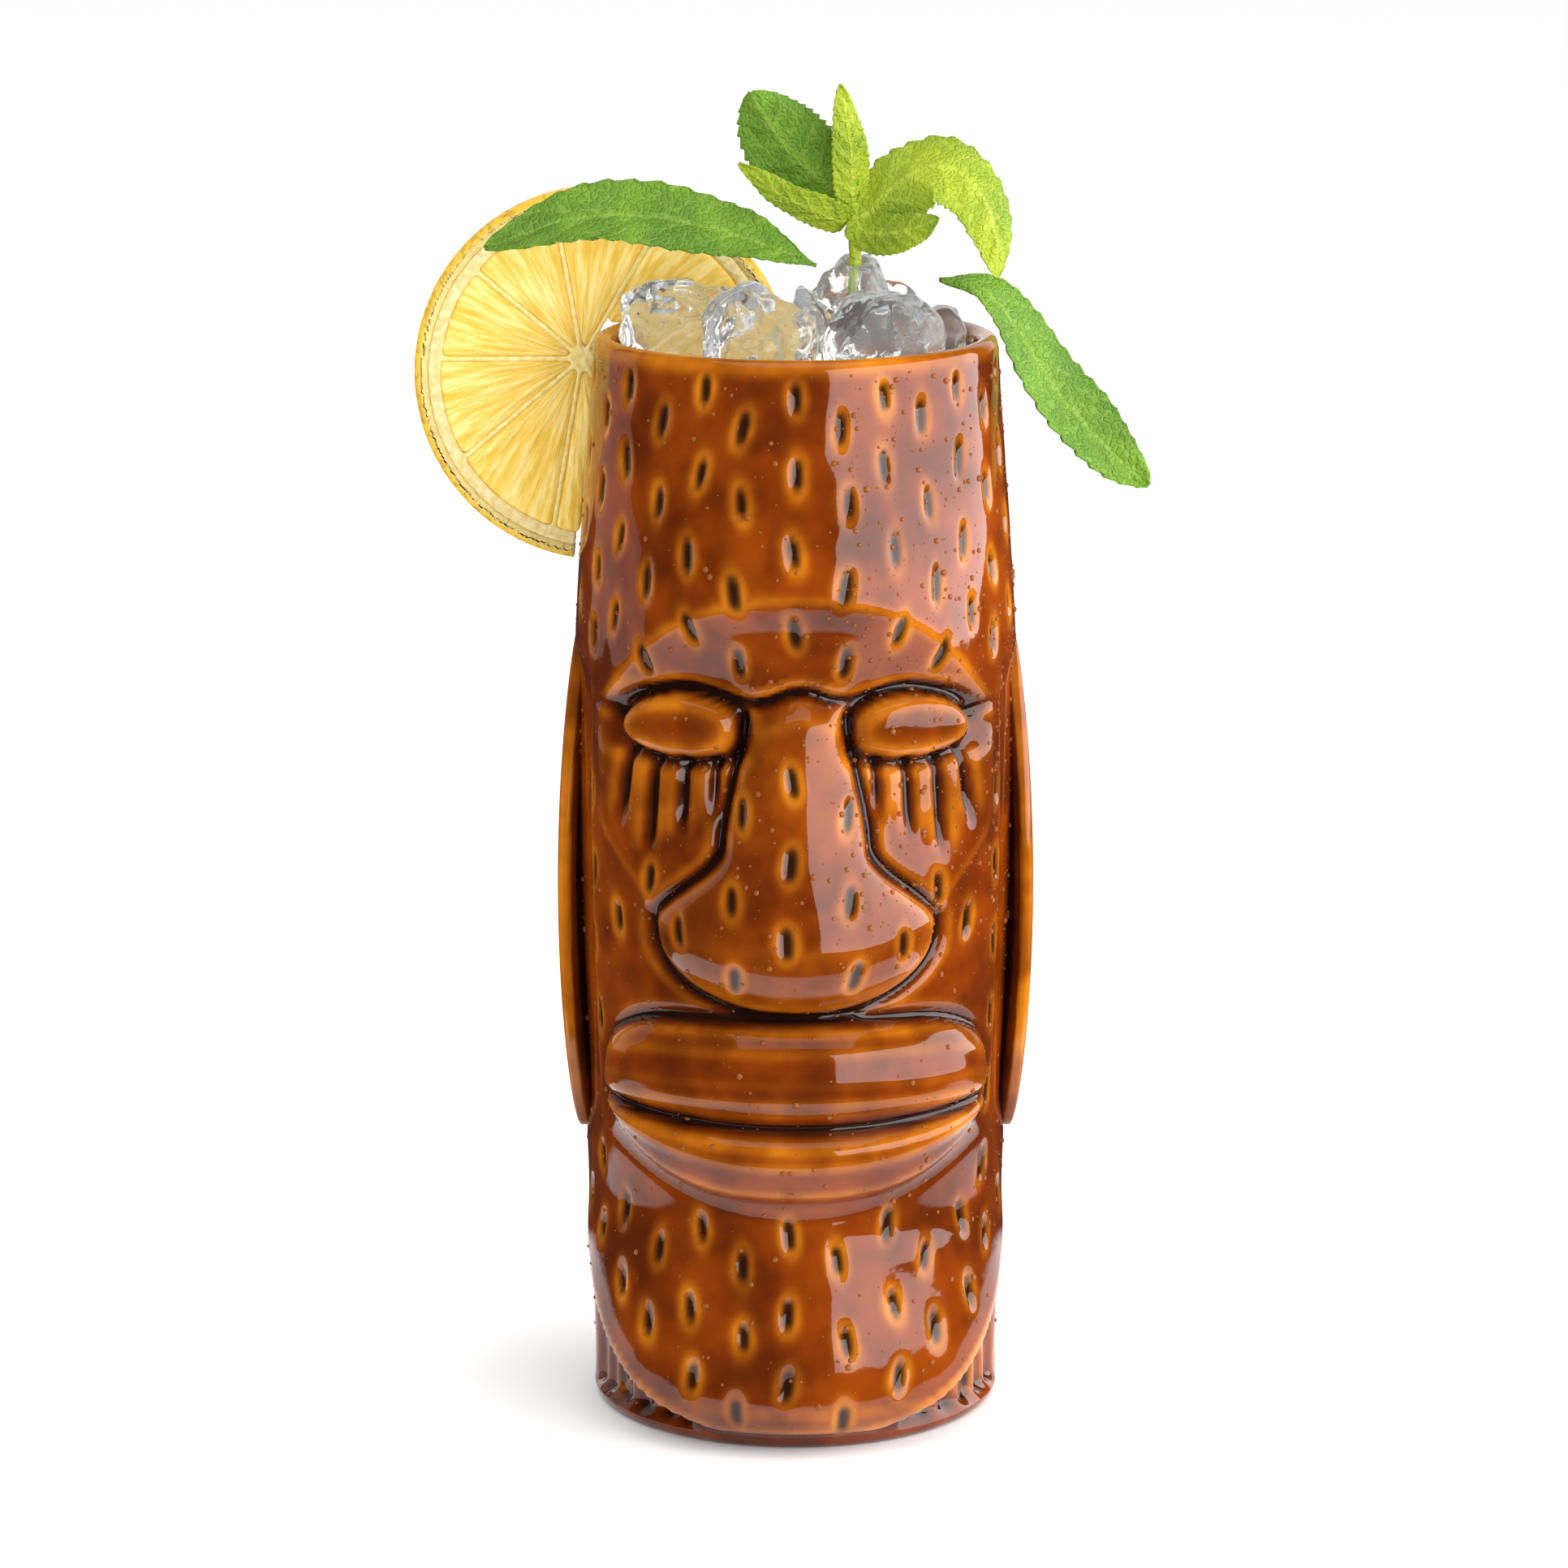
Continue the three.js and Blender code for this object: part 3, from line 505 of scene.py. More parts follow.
lip_round = WALL / 2
wall_top = MUG_HEIGHT - lip_round
inner_foot = float(outer_radius(np.array(FLOOR_THICK))) - WALL - FLOOR_ROUND
profile = [(0, 0)] + arc_points(FOOT_RADIUS - FOOT_ROUND, FOOT_ROUND, FOOT_ROUND, -pi / 2, 0, 6)
row = FOOT_ROUND + PLAIN_STEP
while row < wall_top - 0.3 * PLAIN_STEP:
    profile.append((float(outer_radius(row)), row))
    row += FACE_STEP if FACE_ROWS[0] < row < FACE_ROWS[1] else PLAIN_STEP
profile += arc_points(RIM_RADIUS - lip_round, wall_top, lip_round, 0, pi, 10)
for z in np.arange(MUG_HEIGHT - 8, FLOOR_THICK + FLOOR_ROUND, -11.0):
    profile.append((float(outer_radius(z)) - WALL, float(z)))
profile += arc_points(inner_foot, FLOOR_THICK + FLOOR_ROUND, FLOOR_ROUND, 0, -pi / 2, 4)
profile.append((0, FLOOR_THICK))

shell = bmesh.new()
ring = [shell.verts.new((x, 0, z)) for x, z in profile]
edges = [shell.edges.new(pair) for pair in zip(ring, ring[1:])]
bmesh.ops.spin(
    shell, geom=ring + edges, cent=(0, 0, 0), axis=(0, 0, 1), angle=2 * pi, steps=COLUMNS,
    use_merge=True,
)
bmesh.ops.remove_doubles(shell, verts=shell.verts, dist=0.0005)
bmesh.ops.recalc_face_normals(shell, faces=shell.faces)
mug_data = bpy.data.meshes.new("mug")
shell.to_mesh(mug_data)
shell.free()

count = len(mug_data.vertices)
spots = np.empty(count * 3)
mug_data.vertices.foreach_get("co", spots)
spots = spots.reshape(-1, 3)
z = spots[:, 2].copy()
radius = np.hypot(spots[:, 0], spots[:, 1])
even = np.arctan2(spots[:, 0], -spots[:, 1])
turn = even - FRONT_CROWDING * np.sin(even)
outside = (radius > outer_radius(z) - 0.02) & (z > FOOT_ROUND) & (z < wall_top + 0.02)


def relief(turn, z):
    """Push of the cast relief at a turn from the front and a height, before the pits."""
    radius = outer_radius(z)
    facing = ramp_up(np.cos(turn), 0.10, 0.34)
    beside_ear = ramp_up(z, 42, 50) * ramp_down(z, 116, 123)
    temple = 1.0 * ramp_up(np.abs(turn), 1.1, 1.3) * ramp_down(np.abs(turn), 1.9, 2.1)
    channel = beside_ear * (temple + 0.7 * groove((np.abs(turn) - 1.22) * radius, 1.5))
    return facing * face(radius * np.sin(turn), z) + jaw(turn, z) - channel


def ring_mean(turn, z, reach):
    """Mean push on a small ring round each spot."""
    total = np.zeros_like(z)
    for step in range(8):
        way = step * pi / 4
        total += relief(turn + reach * cos(way) / 34, z + reach * sin(way)) / 8
    return total


# Where the relief is hollow the glaze pools, and where it stands proud the glaze runs thin.
push = np.zeros(count)
pool = np.zeros(count)
thin = np.zeros(count)
t_out, z_out = turn[outside], z[outside]
cast = 0.3 * relief(t_out, z_out) + 0.7 * ring_mean(t_out, z_out, 0.55)
pit, pit_dark, pit_light = pit_push(t_out, z_out, outer_radius(z_out))
edge_fade = ramp_down(z_out, wall_top - 4, wall_top)
push[outside] = (cast + pit) * edge_fade
hollow = 0.5 * ring_mean(t_out, z_out, 1.3) + 0.5 * ring_mean(t_out, z_out, 2.2) - cast
pool[outside] = np.maximum(pit_dark, np.clip(hollow * 1.6 - 0.10, 0, 1))
thin[outside] = np.maximum(pit_light, np.clip(-hollow * 2.2 - 0.08, 0, 1))
inside_wall = (~outside) & (z > FLOOR_THICK + FLOOR_ROUND) & (z < MUG_HEIGHT - 12) & (radius > 20)
behind_face = ramp_up(np.cos(turn), 0.3, 0.7) * ramp_up(z, 70, 95) * ramp_down(z, 125, 140)
push[inside_wall] = -BEHIND_EYES * behind_face[inside_wall]
lip = ramp_up(z, MUG_HEIGHT - 3.2, MUG_HEIGHT - 1.0)
thin = np.maximum(thin, lip * 0.85)
spots[:, 0] = (radius + push) * np.sin(turn)
spots[:, 1] = -(radius + push) * np.cos(turn)
mug_data.vertices.foreach_set("co", (spots * MM).ravel())
for name, values in (("pool", pool), ("thin", thin)):
    layer = mug_data.attributes.new(name, "FLOAT", "POINT")
    layer.data.foreach_set("value", values.astype(np.float32))
mug_data.update()
mug_data.shade_smooth()
mug = bpy.data.objects.new("mug", mug_data)
bpy.context.collection.objects.link(mug)
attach(mug, "mug")
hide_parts("mug_body")

glaze = Finish("amber_glaze", Roughness=0.04, IOR=1.5, Specular_IOR_Level=0.5)
cloudy = (glaze.noise(42, 2) * 0.6 + glaze.noise(150, 2) * 0.4).smooth(0.36, 0.66)
pooled = glaze.attribute("pool")
broken = glaze.attribute("thin")
body_colour = glaze.ramp(
    cloudy,
    (0.0, (0.080, 0.0125, 0.0012)), (0.5, (0.150, 0.0235, 0.0014)), (1.0, (0.215, 0.037, 0.0018)),
)
edge_colour = glaze.mix(cloudy, (0.42, 0.110, 0.004), (0.62, 0.205, 0.010))
lit = glaze.mix(broken * (cloudy * 0.35 + 0.45), body_colour, edge_colour)
dark = glaze.mix(pooled * 0.97, lit, (0.008, 0.0028, 0.0022))
ripple = glaze.noise(60, 1) * 0.7 + glaze.noise(300, 2) * 0.12
glaze.feed(Base_Color=dark, Normal=glaze.bump(ripple, 0.0004, 0.35))
mug_data.materials.append(glaze.material)

# ---- Ears ---------------------------------------------------------------------------------
# Two long ear slabs cast with the head, pointed above and rounded below. Each stands a little
# off the temple on a root, with a raised rim round a shallow hollow.
EAR_BOTTOM = 43.0
EAR_TOP = 124.0
EAR_MIDDLE = (EAR_BOTTOM + EAR_TOP) / 2
EAR_HALF_HEIGHT = (EAR_TOP - EAR_BOTTOM) / 2
EAR_HALF_WIDTH = 9.4
EAR_Y = 1.5
EAR_THICK = 1.5
EAR_ROOT = 3.4
EAR_POINT = 0.35
HOLLOW_SHARE = (0.74, 0.86)
HOLLOW_DEPTH = 1.0
EAR_RIM = 0.35


def ear_outer(z):
    """How far the ear's outer face stands from the axis, at height z."""
    t = (z - EAR_BOTTOM) / (EAR_TOP - EAR_BOTTOM)
    return 34.9 + 2.6 * np.sin(pi * np.clip(t, 0, 1)) ** 0.7 - 0.3 * t


ears = bmesh.new()
for side in (-1, 1):
    made = bmesh.ops.create_uvsphere(ears, u_segments=72, v_segments=64, radius=1)
    for vertex in made["verts"]:
        out, across, up = vertex.co
        narrow = EAR_POINT + (1 - EAR_POINT) * max(0, 1 - up) ** 0.12 if up > 0 else 1
        z = EAR_MIDDLE + EAR_HALF_HEIGHT * up
        y = EAR_HALF_WIDTH * across * narrow + EAR_Y
        flat = np.sign(out) * abs(out) ** 0.6
        rooted = EAR_ROOT * max(0, 1 - abs(across)) ** 0.8 + 0.9
        x = float(ear_outer(z)) - EAR_THICK + flat * (EAR_THICK if out > 0 else rooted)
        distance = sqrt((across / HOLLOW_SHARE[0]) ** 2 + (up / HOLLOW_SHARE[1]) ** 2)
        if out > 0:
            x -= HOLLOW_DEPTH * float(ramp_down(distance, 0.8, 1.05))
            x += EAR_RIM * float(groove(distance - 1.2, 0.12))
        vertex.co = (side * x * MM, y * MM, z * MM)
bmesh.ops.recalc_face_normals(ears, faces=ears.faces)
ears_data = bpy.data.meshes.new("mug_ears")
ears.to_mesh(ears_data)
ears.free()
spots = np.empty(len(ears_data.vertices) * 3)
ears_data.vertices.foreach_get("co", spots)
spots = spots.reshape(-1, 3) / MM
ear_across = (spots[:, 1] - EAR_Y) / EAR_HALF_WIDTH / HOLLOW_SHARE[0]
ear_up = (spots[:, 2] - EAR_MIDDLE) / EAR_HALF_HEIGHT / HOLLOW_SHARE[1]
ear_distance = np.hypot(ear_across, ear_up)
sunk = ear_outer(spots[:, 2]) - np.abs(spots[:, 0])
ear_pool = np.clip(groove(ear_distance - 0.93, 0.1) * (sunk > 0.1) + ramp_up(sunk, 2.6, 4.5), 0, 1)
ear_thin = groove(ear_distance - 1.28, 0.12) * (sunk < 2.2)
for name, values in (("pool", ear_pool), ("thin", ear_thin)):
    layer = ears_data.attributes.new(name, "FLOAT", "POINT")
    layer.data.foreach_set("value", values.astype(np.float32))
ears_data.shade_smooth()
ears_data.materials.append(glaze.material)
ear_pair = bpy.data.objects.new("mug_ears", ears_data)
bpy.context.collection.objects.link(ear_pair)
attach(ear_pair, "mug")

# ---- Dew ----------------------------------------------------------------------------------
# Cold beads that condense on the glaze, thickest on the lit cheek and forehead.
BEADS = 6000
SHADE_SHARE = 0.28
BEAD_SMALLEST = 0.13
BEAD_SPREAD = 0.47
BEAD_SQUASH = Matrix.Diagonal((1, 1, 0.62, 1))
bead_dice = random.Random(21)
beads = bmesh.new()
mug_normals = np.empty(count * 3)
mug_data.vertices.foreach_get("normal", mug_normals)
mug_normals = mug_normals.reshape(-1, 3)
mug_spots = np.empty(count * 3)
mug_data.vertices.foreach_get("co", mug_spots)
mug_spots = mug_spots.reshape(-1, 3)
wet = np.where(outside & (z > 6) & (z < 166))[0]
for _ in range(BEADS):
    pick = int(wet[bead_dice.randrange(len(wet))])
    spot, normal = Vector(mug_spots[pick]), Vector(mug_normals[pick])
    lit_side = spot.x > 5 * MM and spot.z > 78 * MM
    if not lit_side and bead_dice.random() < 1 - SHADE_SHARE:
        continue
    size = (BEAD_SMALLEST + BEAD_SPREAD * bead_dice.random() ** 3.5) * MM
    lean = normal.to_track_quat("Z", "Y").to_matrix().to_4x4()
    where = Matrix.Translation(spot) @ lean @ BEAD_SQUASH
    bmesh.ops.create_icosphere(beads, subdivisions=1, radius=size, matrix=where)
beads_data = bpy.data.meshes.new("dew")
beads.to_mesh(beads_data)
beads.free()
beads_data.shade_smooth()
dew = bpy.data.objects.new("dew", beads_data)
bpy.context.collection.objects.link(dew)
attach(dew, "mug")
# The beads' amber base colour is painted light: it stands in for the glaze seen through the clear water and
# the light each bead focuses onto it.
water = Finish(
    "dew_water", Base_Color=(0.42, 0.13, 0.025, 1), Roughness=0.03, IOR=1.33,
    Transmission_Weight=0.5,
)
beads_data.materials.append(water.material)

# ---- Lemon wheel --------------------------------------------------------------------------
# A wheel cut across a lemon, slit from the rind past its core to straddle the lip. Rind, pith
# and the juicy segments are separate tissues, each finished from its own solid.


def finer(node, name, voxel):
    """A node's solid as a new object with an even, fine skin."""
    copy = bmesh.new()
    copy.from_mesh(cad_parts[node].data)
    bmesh.ops.remove_doubles(copy, verts=copy.verts, dist=2e-6)
    rough = bpy.data.meshes.new(name + "_rough")
    copy.to_mesh(rough)
    copy.free()
    holder = bpy.data.objects.new(name + "_rough", rough)
    bpy.context.collection.objects.link(holder)
    skin = holder.modifiers.new("skin", "REMESH")
    skin.mode = "VOXEL"
    skin.voxel_size = voxel * MM
    bpy.context.view_layer.update()
    made = bpy.data.meshes.new_from_object(holder.evaluated_get(bpy.context.evaluated_depsgraph_get()))
    made.name = name
    bpy.data.objects.remove(holder)
    piece = bpy.data.objects.new(name, made)
    bpy.context.collection.objects.link(piece)
    return piece


def shifted(piece, move, rounds=0):
    """Moves each vertex by move(place in mm, normal), after some rounds of smoothing."""
    work = bmesh.new()
    work.from_mesh(piece.data)
    for _ in range(rounds):
        bmesh.ops.smooth_vert(
            work, verts=work.verts, factor=0.5, use_axis_x=True, use_axis_y=True, use_axis_z=True,
        )
    work.normal_update()
    for vertex in work.verts:
        vertex.co += Vector(move(vertex.co / MM, vertex.normal)) * MM
    bmesh.ops.recalc_face_normals(work, faces=work.faces)
    work.to_mesh(piece.data)
    work.free()
    piece.data.shade_smooth()


WHEEL_RADIUS = 29.6
RIND_INSIDE = 28.6
CORE_OFF = (-3.2, 2.6)
peel_low, peel_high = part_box("lemon_peel")
WHEEL_X = peel_low.x / MM + WHEEL_RADIUS
WHEEL_Z = peel_high.z / MM - WHEEL_RADIUS
CORE_X, CORE_Z = WHEEL_X + CORE_OFF[0], WHEEL_Z + CORE_OFF[1]
WHEEL_MIDDLE = (peel_low.y + peel_high.y) / 2 / MM


def flesh_move(place, normal):
    """Juice sacs swell on the cut face in strands that run from the core to the rind."""
    across, up = place.x - CORE_X, place.z - CORE_Z
    rho, turn = sqrt(across * across + up * up), atan2(up, across)
    fibre = noise.noise(Vector((turn * 15, rho * 0.16, 3 + WHEEL_MIDDLE * 0.1)))
    sac = noise.noise(Vector((turn * 42, rho * 0.42, 9)))
    face_on = abs(normal.y)
    lift = (0.30 * fibre + 0.12 * sac) * face_on + 0.44 * (1 - face_on)
    return normal * lift


# The flesh's emission is a painted glow, standing in for light shining through the backlit segments.
pulp_finish = Finish(
    "lemon_pulp", Roughness=0.12, IOR=1.36, Subsurface_Weight=0.15,
    Subsurface_Radius=(0.004, 0.003, 0.001), Emission_Strength=0.2,
)
from_core = pulp_finish.offset_from(CORE_X, 0, CORE_Z)
along_x = pulp_finish.node("SeparateXYZ", out="X", Vector=from_core)
along_z = pulp_finish.node("SeparateXYZ", out="Z", Vector=from_core)
rho = (along_x * along_x + along_z * along_z) ** 0.5
polar = pulp_finish.node("CombineXYZ", X=along_z.math("ARCTAN2", along_x) * 10, Y=rho * 70, Z=0.3)
fibres = pulp_finish.noise(2.2, 5, where=polar, roughness=0.6)
pulp_colour = pulp_finish.ramp(
    fibres.smooth(0.28, 0.74),
    (0.0, (0.72, 0.45, 0.055)), (0.4, (0.80, 0.56, 0.12)), (1.0, (0.90, 0.74, 0.32)),
)
# Colour of the painted glow: the flesh colour warmed towards yellow.
painted_glow = pulp_finish.mix(0.8, pulp_colour, (1.0, 0.80, 0.3), blend="MULTIPLY")
pulp_finish.feed(
    Base_Color=pulp_colour, Emission_Color=painted_glow, Normal=pulp_finish.bump(fibres, 0.0006, 0.6),
)
for index in range(1, 10):
    pulp = finer(f"lemon_pulp_{index}", f"juicy_segment_{index}", 0.36)
    shifted(pulp, flesh_move, rounds=2)
    pulp.data.materials.append(pulp_finish.material)
    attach(pulp, "lemon_wheel")
    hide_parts(f"lemon_pulp_{index}")


def pith_move(place, normal):
    """The pith's face is a little woolly, and it draws back from the flesh."""
    rough = noise.noise(place * 0.9) * 0.10 + noise.noise(place * 2.7) * 0.03
    return normal * (rough * abs(normal.y) - 0.10 * (1 - abs(normal.y)))


pith = finer("lemon_pith", "pith_and_membranes", 0.34)
shifted(pith, pith_move, rounds=1)
# The pith's faint emission is a painted glow, as of light shining through the thin tissue.
pith_finish = Finish(
    "lemon_pith", Roughness=0.55, Subsurface_Weight=0.2, Subsurface_Radius=(0.004, 0.003, 0.001),
    Emission_Strength=0.08,
)
wool = pith_finish.noise(900, 5).smooth(0.3, 0.7)
ring_tone = pith_finish.mix(wool, (0.72, 0.54, 0.19), (0.86, 0.73, 0.38))
web_tone = pith_finish.mix(wool, (0.82, 0.62, 0.15), (0.92, 0.79, 0.36))
at_ring = pith_finish.distance_on_face(WHEEL_X, WHEEL_Z).smooth(0.0245, 0.0262)
pith_colour = pith_finish.mix(at_ring, web_tone, ring_tone)
pith_finish.feed(
    Base_Color=pith_colour, Emission_Color=pith_colour, Normal=pith_finish.bump(wool, 0.0003, 0.5),
)
pith.data.materials.append(pith_finish.material)
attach(pith, "lemon_wheel")
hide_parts("lemon_pith")


def rind_move(place, normal):
    """The rind is crowned and pored outside, and draws back from the pith inside."""
    out = Vector((place.x - WHEEL_X, 0, place.z - WHEEL_Z))
    away = out.length
    outward = out / away if away else out
    pore = max(0.0, noise.noise(place * 1.15) - 0.15)
    crown = -0.5 * (abs(place.y - WHEEL_MIDDLE) / 2.25) ** 3
    if away < RIND_INSIDE:
        return outward * (-0.42 if abs(normal.y) < 0.5 else 0)
    return outward * (crown - 0.8 * pore)


rind = finer("lemon_peel", "rind", 0.34)
shifted(rind, rind_move, rounds=2)
rind_finish = Finish(
    "lemon_rind", Roughness=0.32, IOR=1.45, Subsurface_Weight=0.1,
    Subsurface_Radius=(0.003, 0.002, 0.0005),
)
zest = rind_finish.distance_on_face(WHEEL_X, WHEEL_Z).smooth(0.0279, 0.0291)
oil = rind_finish.noise(700, 2).smooth(0.5, 0.62)
zest_colour = rind_finish.mix(oil * 0.6, (0.80, 0.50, 0.025), (0.52, 0.26, 0.008))
rind_colour = rind_finish.mix(zest, (0.80, 0.64, 0.24), zest_colour)
rind_finish.feed(Base_Color=rind_colour, Normal=rind_finish.bump(oil, 0.0003, 0.6))
rind.data.materials.append(rind_finish.material)
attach(rind, "lemon_wheel")
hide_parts("lemon_peel")

# ---- Crushed ice --------------------------------------------------------------------------
# Clear lumps knocked off a block, rounded by melting and wet all over, packed in the mouth.
# The buried ones are cloudy, and carry a faint painted glow that lightens them.
ice_finish = Finish(
    "clear_ice", Base_Color=(0.97, 0.985, 0.985, 1), Roughness=0.015, IOR=1.31,
    Transmission_Weight=0.93,
)
crazing = ice_finish.noise(260, 4).smooth(0.45, 0.75)
ice_finish.feed(Normal=ice_finish.bump(ice_finish.noise(120, 2) + crazing * 0.2, 0.0012, 0.5))
# Cloudy ice for the buried lumps; its faint white emission is a painted glow.
white_ice = Finish(
    "white_ice", Base_Color=(0.86, 0.90, 0.92, 1), Roughness=0.14, IOR=1.31,
    Transmission_Weight=0.6, Emission_Color=(0.9, 0.95, 1.0, 1), Emission_Strength=0.07,
)
white_ice.feed(Normal=white_ice.bump(white_ice.noise(500, 4), 0.001, 0.5))


def melt_move(place, normal):
    """Melting leaves soft swells and dents."""
    swell = noise.noise(place * 0.17) * 0.9 + noise.noise(place * 0.45) * 0.5
    return normal * (swell - 0.3)


for node in sorted(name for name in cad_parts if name.startswith("ice_")):
    lump = finer(node, node.replace("ice_", "lump_"), 0.75)
    shifted(lump, melt_move, rounds=4)
    buried = node.startswith("ice_low")
    lump.data.materials.append(white_ice.material if buried else ice_finish.material)
    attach(lump, "ice")
    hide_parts(node)

# ---- Mint ---------------------------------------------------------------------------------
# Spearmint: a young sprig stuck upright in the ice and two grown leaves laid across it. Each
# leaf is a toothed blade with a sunk midrib and puckered side veins.
RIM_RIGHT = sqrt(RIM_RADIUS**2 - 10**2)
STEM_HEAD = (8.8, 2, 18.2)
BLADE_THICK = 0.28
TEETH = 18
TOOTH_REACH = 0.13
SIDE_VEINS = 8


def along_curve(points, t):
    """A point on the Catmull-Rom curve through the points, with t from 0 to 1."""
    spans = len(points) - 1
    spot = min(t * spans, spans - 1e-6)
    index = int(spot)
    local = spot - index
    p1, p2 = Vector(points[index]), Vector(points[index + 1])
    p0 = Vector(points[index - 1]) if index > 0 else 2 * p1 - p2
    p3 = Vector(points[index + 2]) if index + 2 <= spans else 2 * p2 - p1
    return 0.5 * (
        2 * p1 + (p2 - p0) * local + (2 * p0 - 5 * p1 + 4 * p2 - p3) * local**2
        + (3 * p1 - p0 - 3 * p2 + p3) * local**3
    )


def leaf_finish(name, deep, light, vein_tint, painted_glow):
    """Blotched green, a pale net of fine veins, and the midrib and side veins paler still. The emission is a
    painted glow, as of light shining through the leaf.
    """
    finish = Finish(
        name, Roughness=0.5, IOR=1.38, Subsurface_Weight=0.12,
        Subsurface_Radius=(0.002, 0.003, 0.0005), Emission_Strength=painted_glow,
    )
    blade = finish.mix(finish.noise(110, 4).smooth(0.32, 0.7), deep, light)
    edge = {"feature": "DISTANCE_TO_EDGE"}
    net = finish.node("TexVoronoi", edge, Vector=finish.place(), Scale=950.0)
    between = net.smooth(0.02, 0.22)
    netted = finish.mix(between * 0.5, vein_tint, blade)
    colour = finish.mix(finish.attribute("vein") * 0.7, finish.mix(0.45, blade, netted), vein_tint)
    quilted = finish.bump(between + finish.noise(1400, 3) * 0.4, 0.0004, 0.7)
    return finish.feed(Base_Color=colour, Emission_Color=colour, Normal=quilted)


MINT_LOOKS = {
    "young_mint": leaf_finish(
        "young_mint", (0.085, 0.20, 0.002), (0.27, 0.36, 0.004), (0.40, 0.47, 0.04), 0.13,
    ),
    "grown_mint": leaf_finish(
        "grown_mint", (0.026, 0.120, 0.003), (0.105, 0.25, 0.006), (0.22, 0.36, 0.04), 0.07,
    ),
}


def leaf(
    name, node, spine, width, across, across_tip=None, body="mint_sprig", slot="young_mint",
    fold=0.15, pucker=0.3, fullest=0.85,
):
    """A leaf along a spine counted from the rim's middle, with its blade's width lying across."""
    grid = bmesh.new()
    bmesh.ops.create_grid(grid, x_segments=108, y_segments=30, size=0.5)
    vein_layer = grid.verts.layers.float.new("vein")
    start = Vector(across)
    end = Vector(across_tip or across)
    if body == "mint_sprig":
        spine = [STEM_HEAD] + spine
    for vertex in grid.verts:
        u, v = vertex.co.x + 0.5, 2 * vertex.co.y
        side = abs(v)
        half = width / 2 * max(0.05, sin(pi * u**fullest) ** 0.62)
        tooth = (u * TEETH - 0.35 * side) % 1.0
        reach = 1 - TOOTH_REACH * tooth * side**5
        here = along_curve(spine, u)
        ahead = along_curve(spine, min(1, u + 0.01)) - along_curve(spine, max(0, u - 0.01))
        ahead.normalize()
        sideways = start.lerp(end, u)
        sideways = (sideways - ahead * sideways.dot(ahead)).normalized()
        up = ahead.cross(sideways)
        quilt = abs(sin(pi * (u - 0.16 * side) * SIDE_VEINS))
        ripple = noise.noise(Vector((u * 5, v * 1.2, width))) * 0.10 * width * side
        bulge = pucker * (quilt - 0.6) * (1 - side**4) - 0.35 * pucker * float(groove(v, 0.09))
        lift = fold * half * side + bulge * min(1, half / 3) + ripple
        place = here + sideways * half * v * reach + up * lift
        vertex.co = (place + Vector((0, 0, MUG_HEIGHT))) * MM
        midrib = float(groove(v, 0.055 + 0.03 * (1 - u)))
        vertex[vein_layer] = max(midrib, 0.7 * float(groove(quilt, 0.16)) * (1 - 0.6 * side))
    bmesh.ops.remove_doubles(grid, verts=grid.verts, dist=1e-6)
    blade = bpy.data.meshes.new(name)
    grid.to_mesh(blade)
    grid.free()
    piece = bpy.data.objects.new(name, blade)
    bpy.context.collection.objects.link(piece)
    thick = piece.modifiers.new("thickness", "SOLIDIFY")
    thick.thickness = BLADE_THICK * MM
    thick.offset = 0
    blade.shade_smooth()
    blade.materials.append(MINT_LOOKS[slot])
    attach(piece, body)
    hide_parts(node)


# The sprig's own leaves start at the head of the stem; the two long ones lie loose on the ice.
leaf(
    "leaf_top", "mint_leaf_top", width=6.4, across=(1, 0.3, 0.1),
    spine=[(8.7, 2, 21), (8.6, 2, 26), (7.8, 1, 32), (6.7, 0, 38.2)],
)
leaf(
    "leaf_low_left", "mint_leaf_low_left", width=6.4, across=(0.45, -0.5, 0.8),
    spine=[(7.2, 0.6, 17.2), (2.4, -2, 19.3), (-3.2, -3, 22.3), (-8.6, -3, 26.6)],
)
leaf(
    "leaf_upper_left", "mint_leaf_upper_left", width=15.4, across=(0.7, -0.25, 0.7),
    slot="grown_mint", fullest=1.05,
    spine=[(5.6, 4.2, 21.6), (0.8, 5, 25.8), (-3.6, 5, 31), (-6.9, 3.6, 36.6)],
)
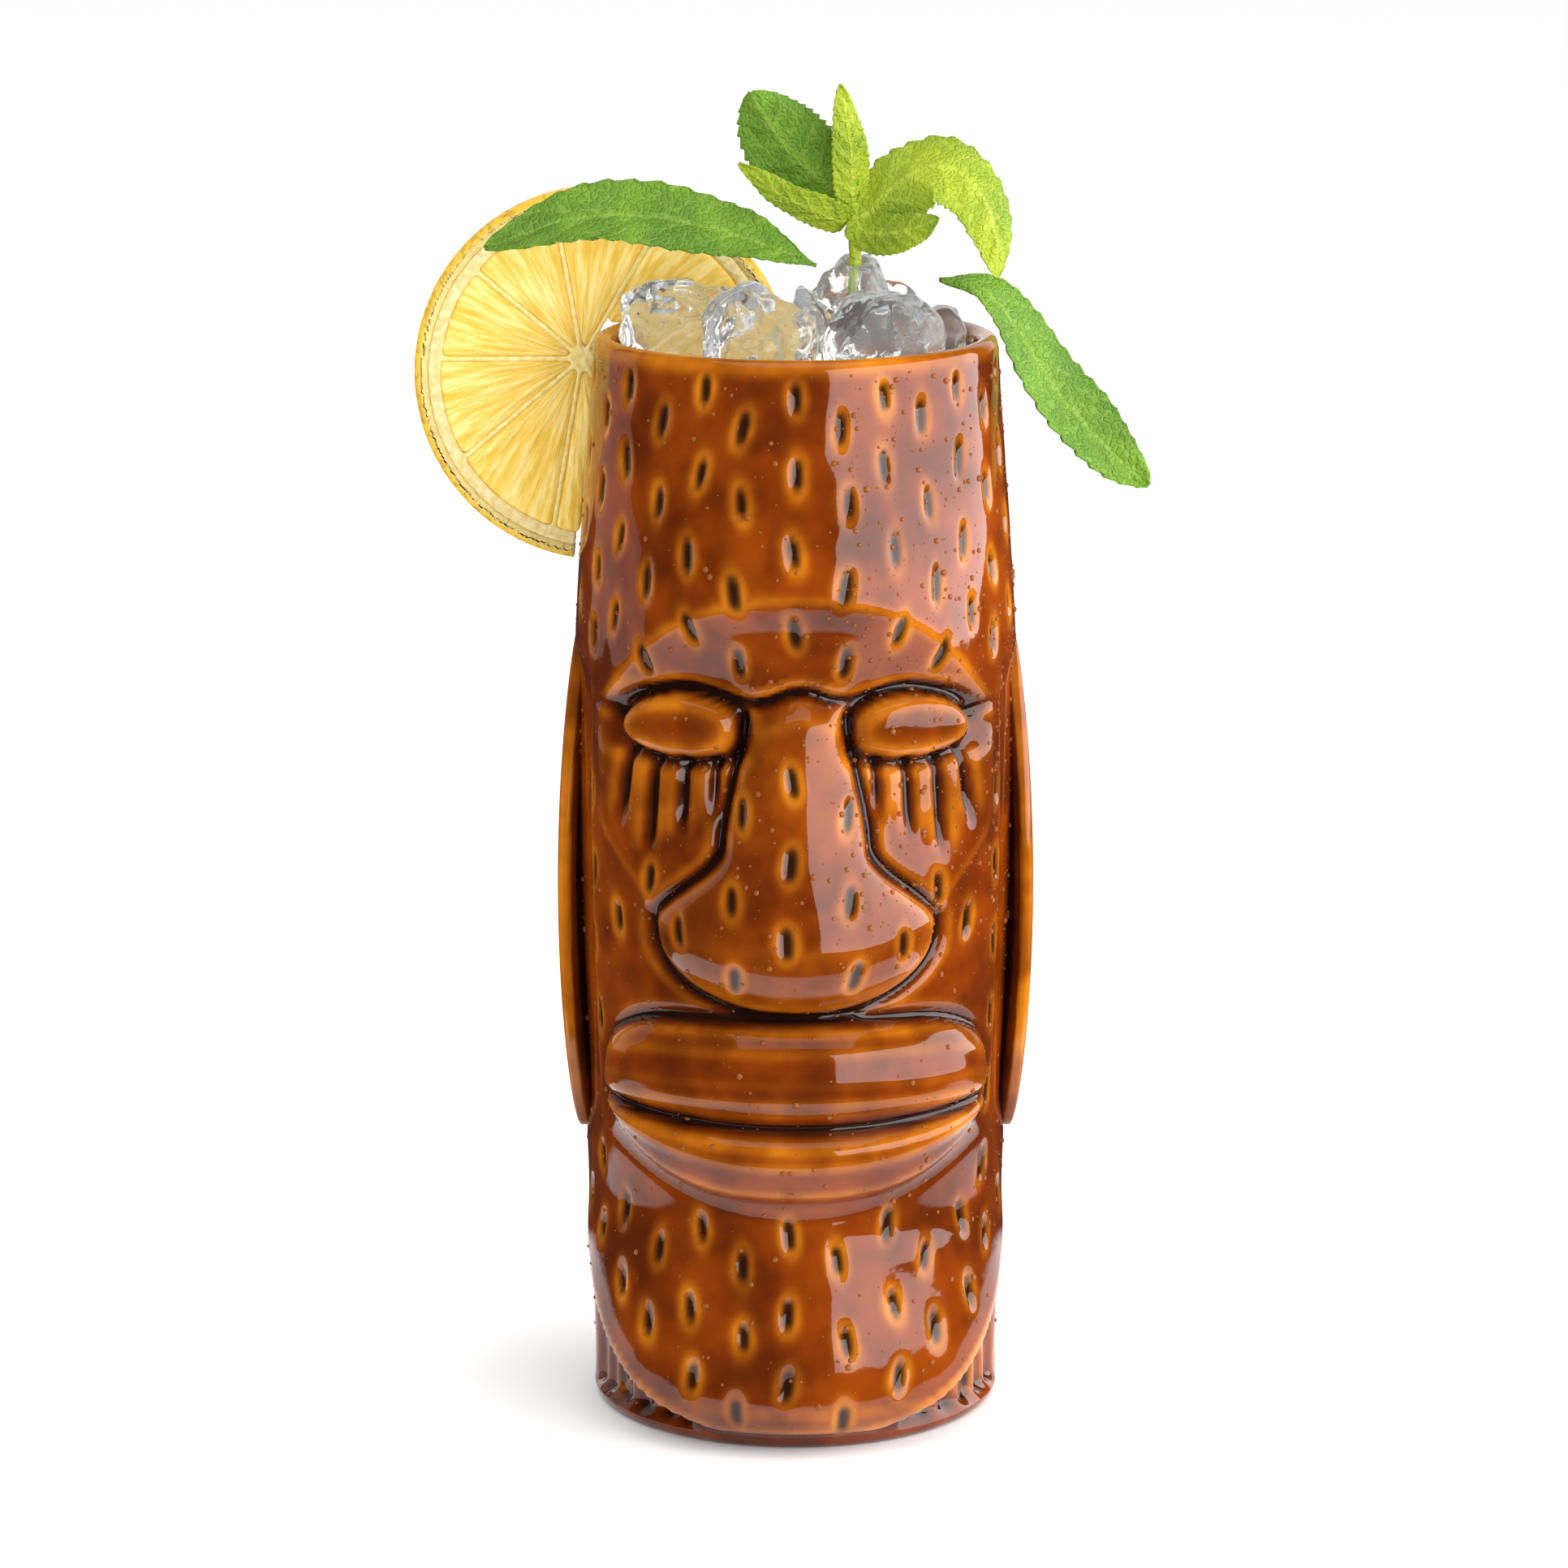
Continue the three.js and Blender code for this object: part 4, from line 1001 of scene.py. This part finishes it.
leaf(
    "leaf_back", "mint_leaf_back", width=6, across=(0.6, 0.2, 0.8), slot="grown_mint",
    spine=[(7.2, 4.2, 18.8), (5.6, 7, 20.6), (3.4, 9, 22.6), (0.6, 10.4, 23.6)],
)
leaf(
    "leaf_upper_right", "mint_leaf_upper_right", width=13.8, across=(0.62, -0.3, -0.74),
    across_tip=(-0.9, -0.5, -0.1),
    spine=[(10.6, 1.6, 18), (15.6, 0, 23), (21.6, -1, 25.9), (27.4, -2, 22.8), (30.4, -3, 16), (30.9, -3, 9)],
)
leaf(
    "leaf_low_right", "mint_leaf_low_right", width=6.8, across=(0.25, -0.5, -0.8),
    spine=[(10.7, 0.2, 15.6), (14.8, -3.4, 15.8), (18.5, -6, 17), (21.8, -8, 18.6)],
)
leaf(
    "long_leaf_left", "mint_leaf_left", width=12.8, across=(0, -0.72, -0.7),
    body="mint_leaf_left", slot="grown_mint", fullest=1.45,
    spine=[
        (3.2, -5.2, 11.2), (-2.5, -5, 13.4), (-10, -3.5, 15.8), (-22.4, -2, 18.2),
        (-34.8, -3, 17.8), (-47.5, -5, 13.6),
    ],
)
leaf(
    "long_leaf_right", "mint_leaf_right", width=12.8, across=(0.3, 0.92, 0.1),
    across_tip=(0.7, 0.3, 0.6), body="mint_leaf_right", slot="grown_mint", fullest=1.2,
    spine=[
        (RIM_RIGHT - 7.2, 8.5, 7.2), (RIM_RIGHT - 0.4, 9.4, 5.4), (RIM_RIGHT + 5, 10.6, -0.8),
        (RIM_RIGHT + 11.6, 12, -11), (RIM_RIGHT + 19, 13, -19.5), (RIM_RIGHT + 26.1, 14, -26.1),
    ],
)

stem = finer("mint_stem", "stem", 0.22)
shifted(stem, lambda place, normal: normal * 0.08 * noise.noise(place * 1.4), rounds=2)
stem_layer = stem.data.attributes.new("vein", "FLOAT", "POINT")
stem_layer.data.foreach_set("value", [0.5] * len(stem.data.vertices))
stem.data.materials.append(MINT_LOOKS["young_mint"])
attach(stem, "mint_sprig")
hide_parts("mint_stem")
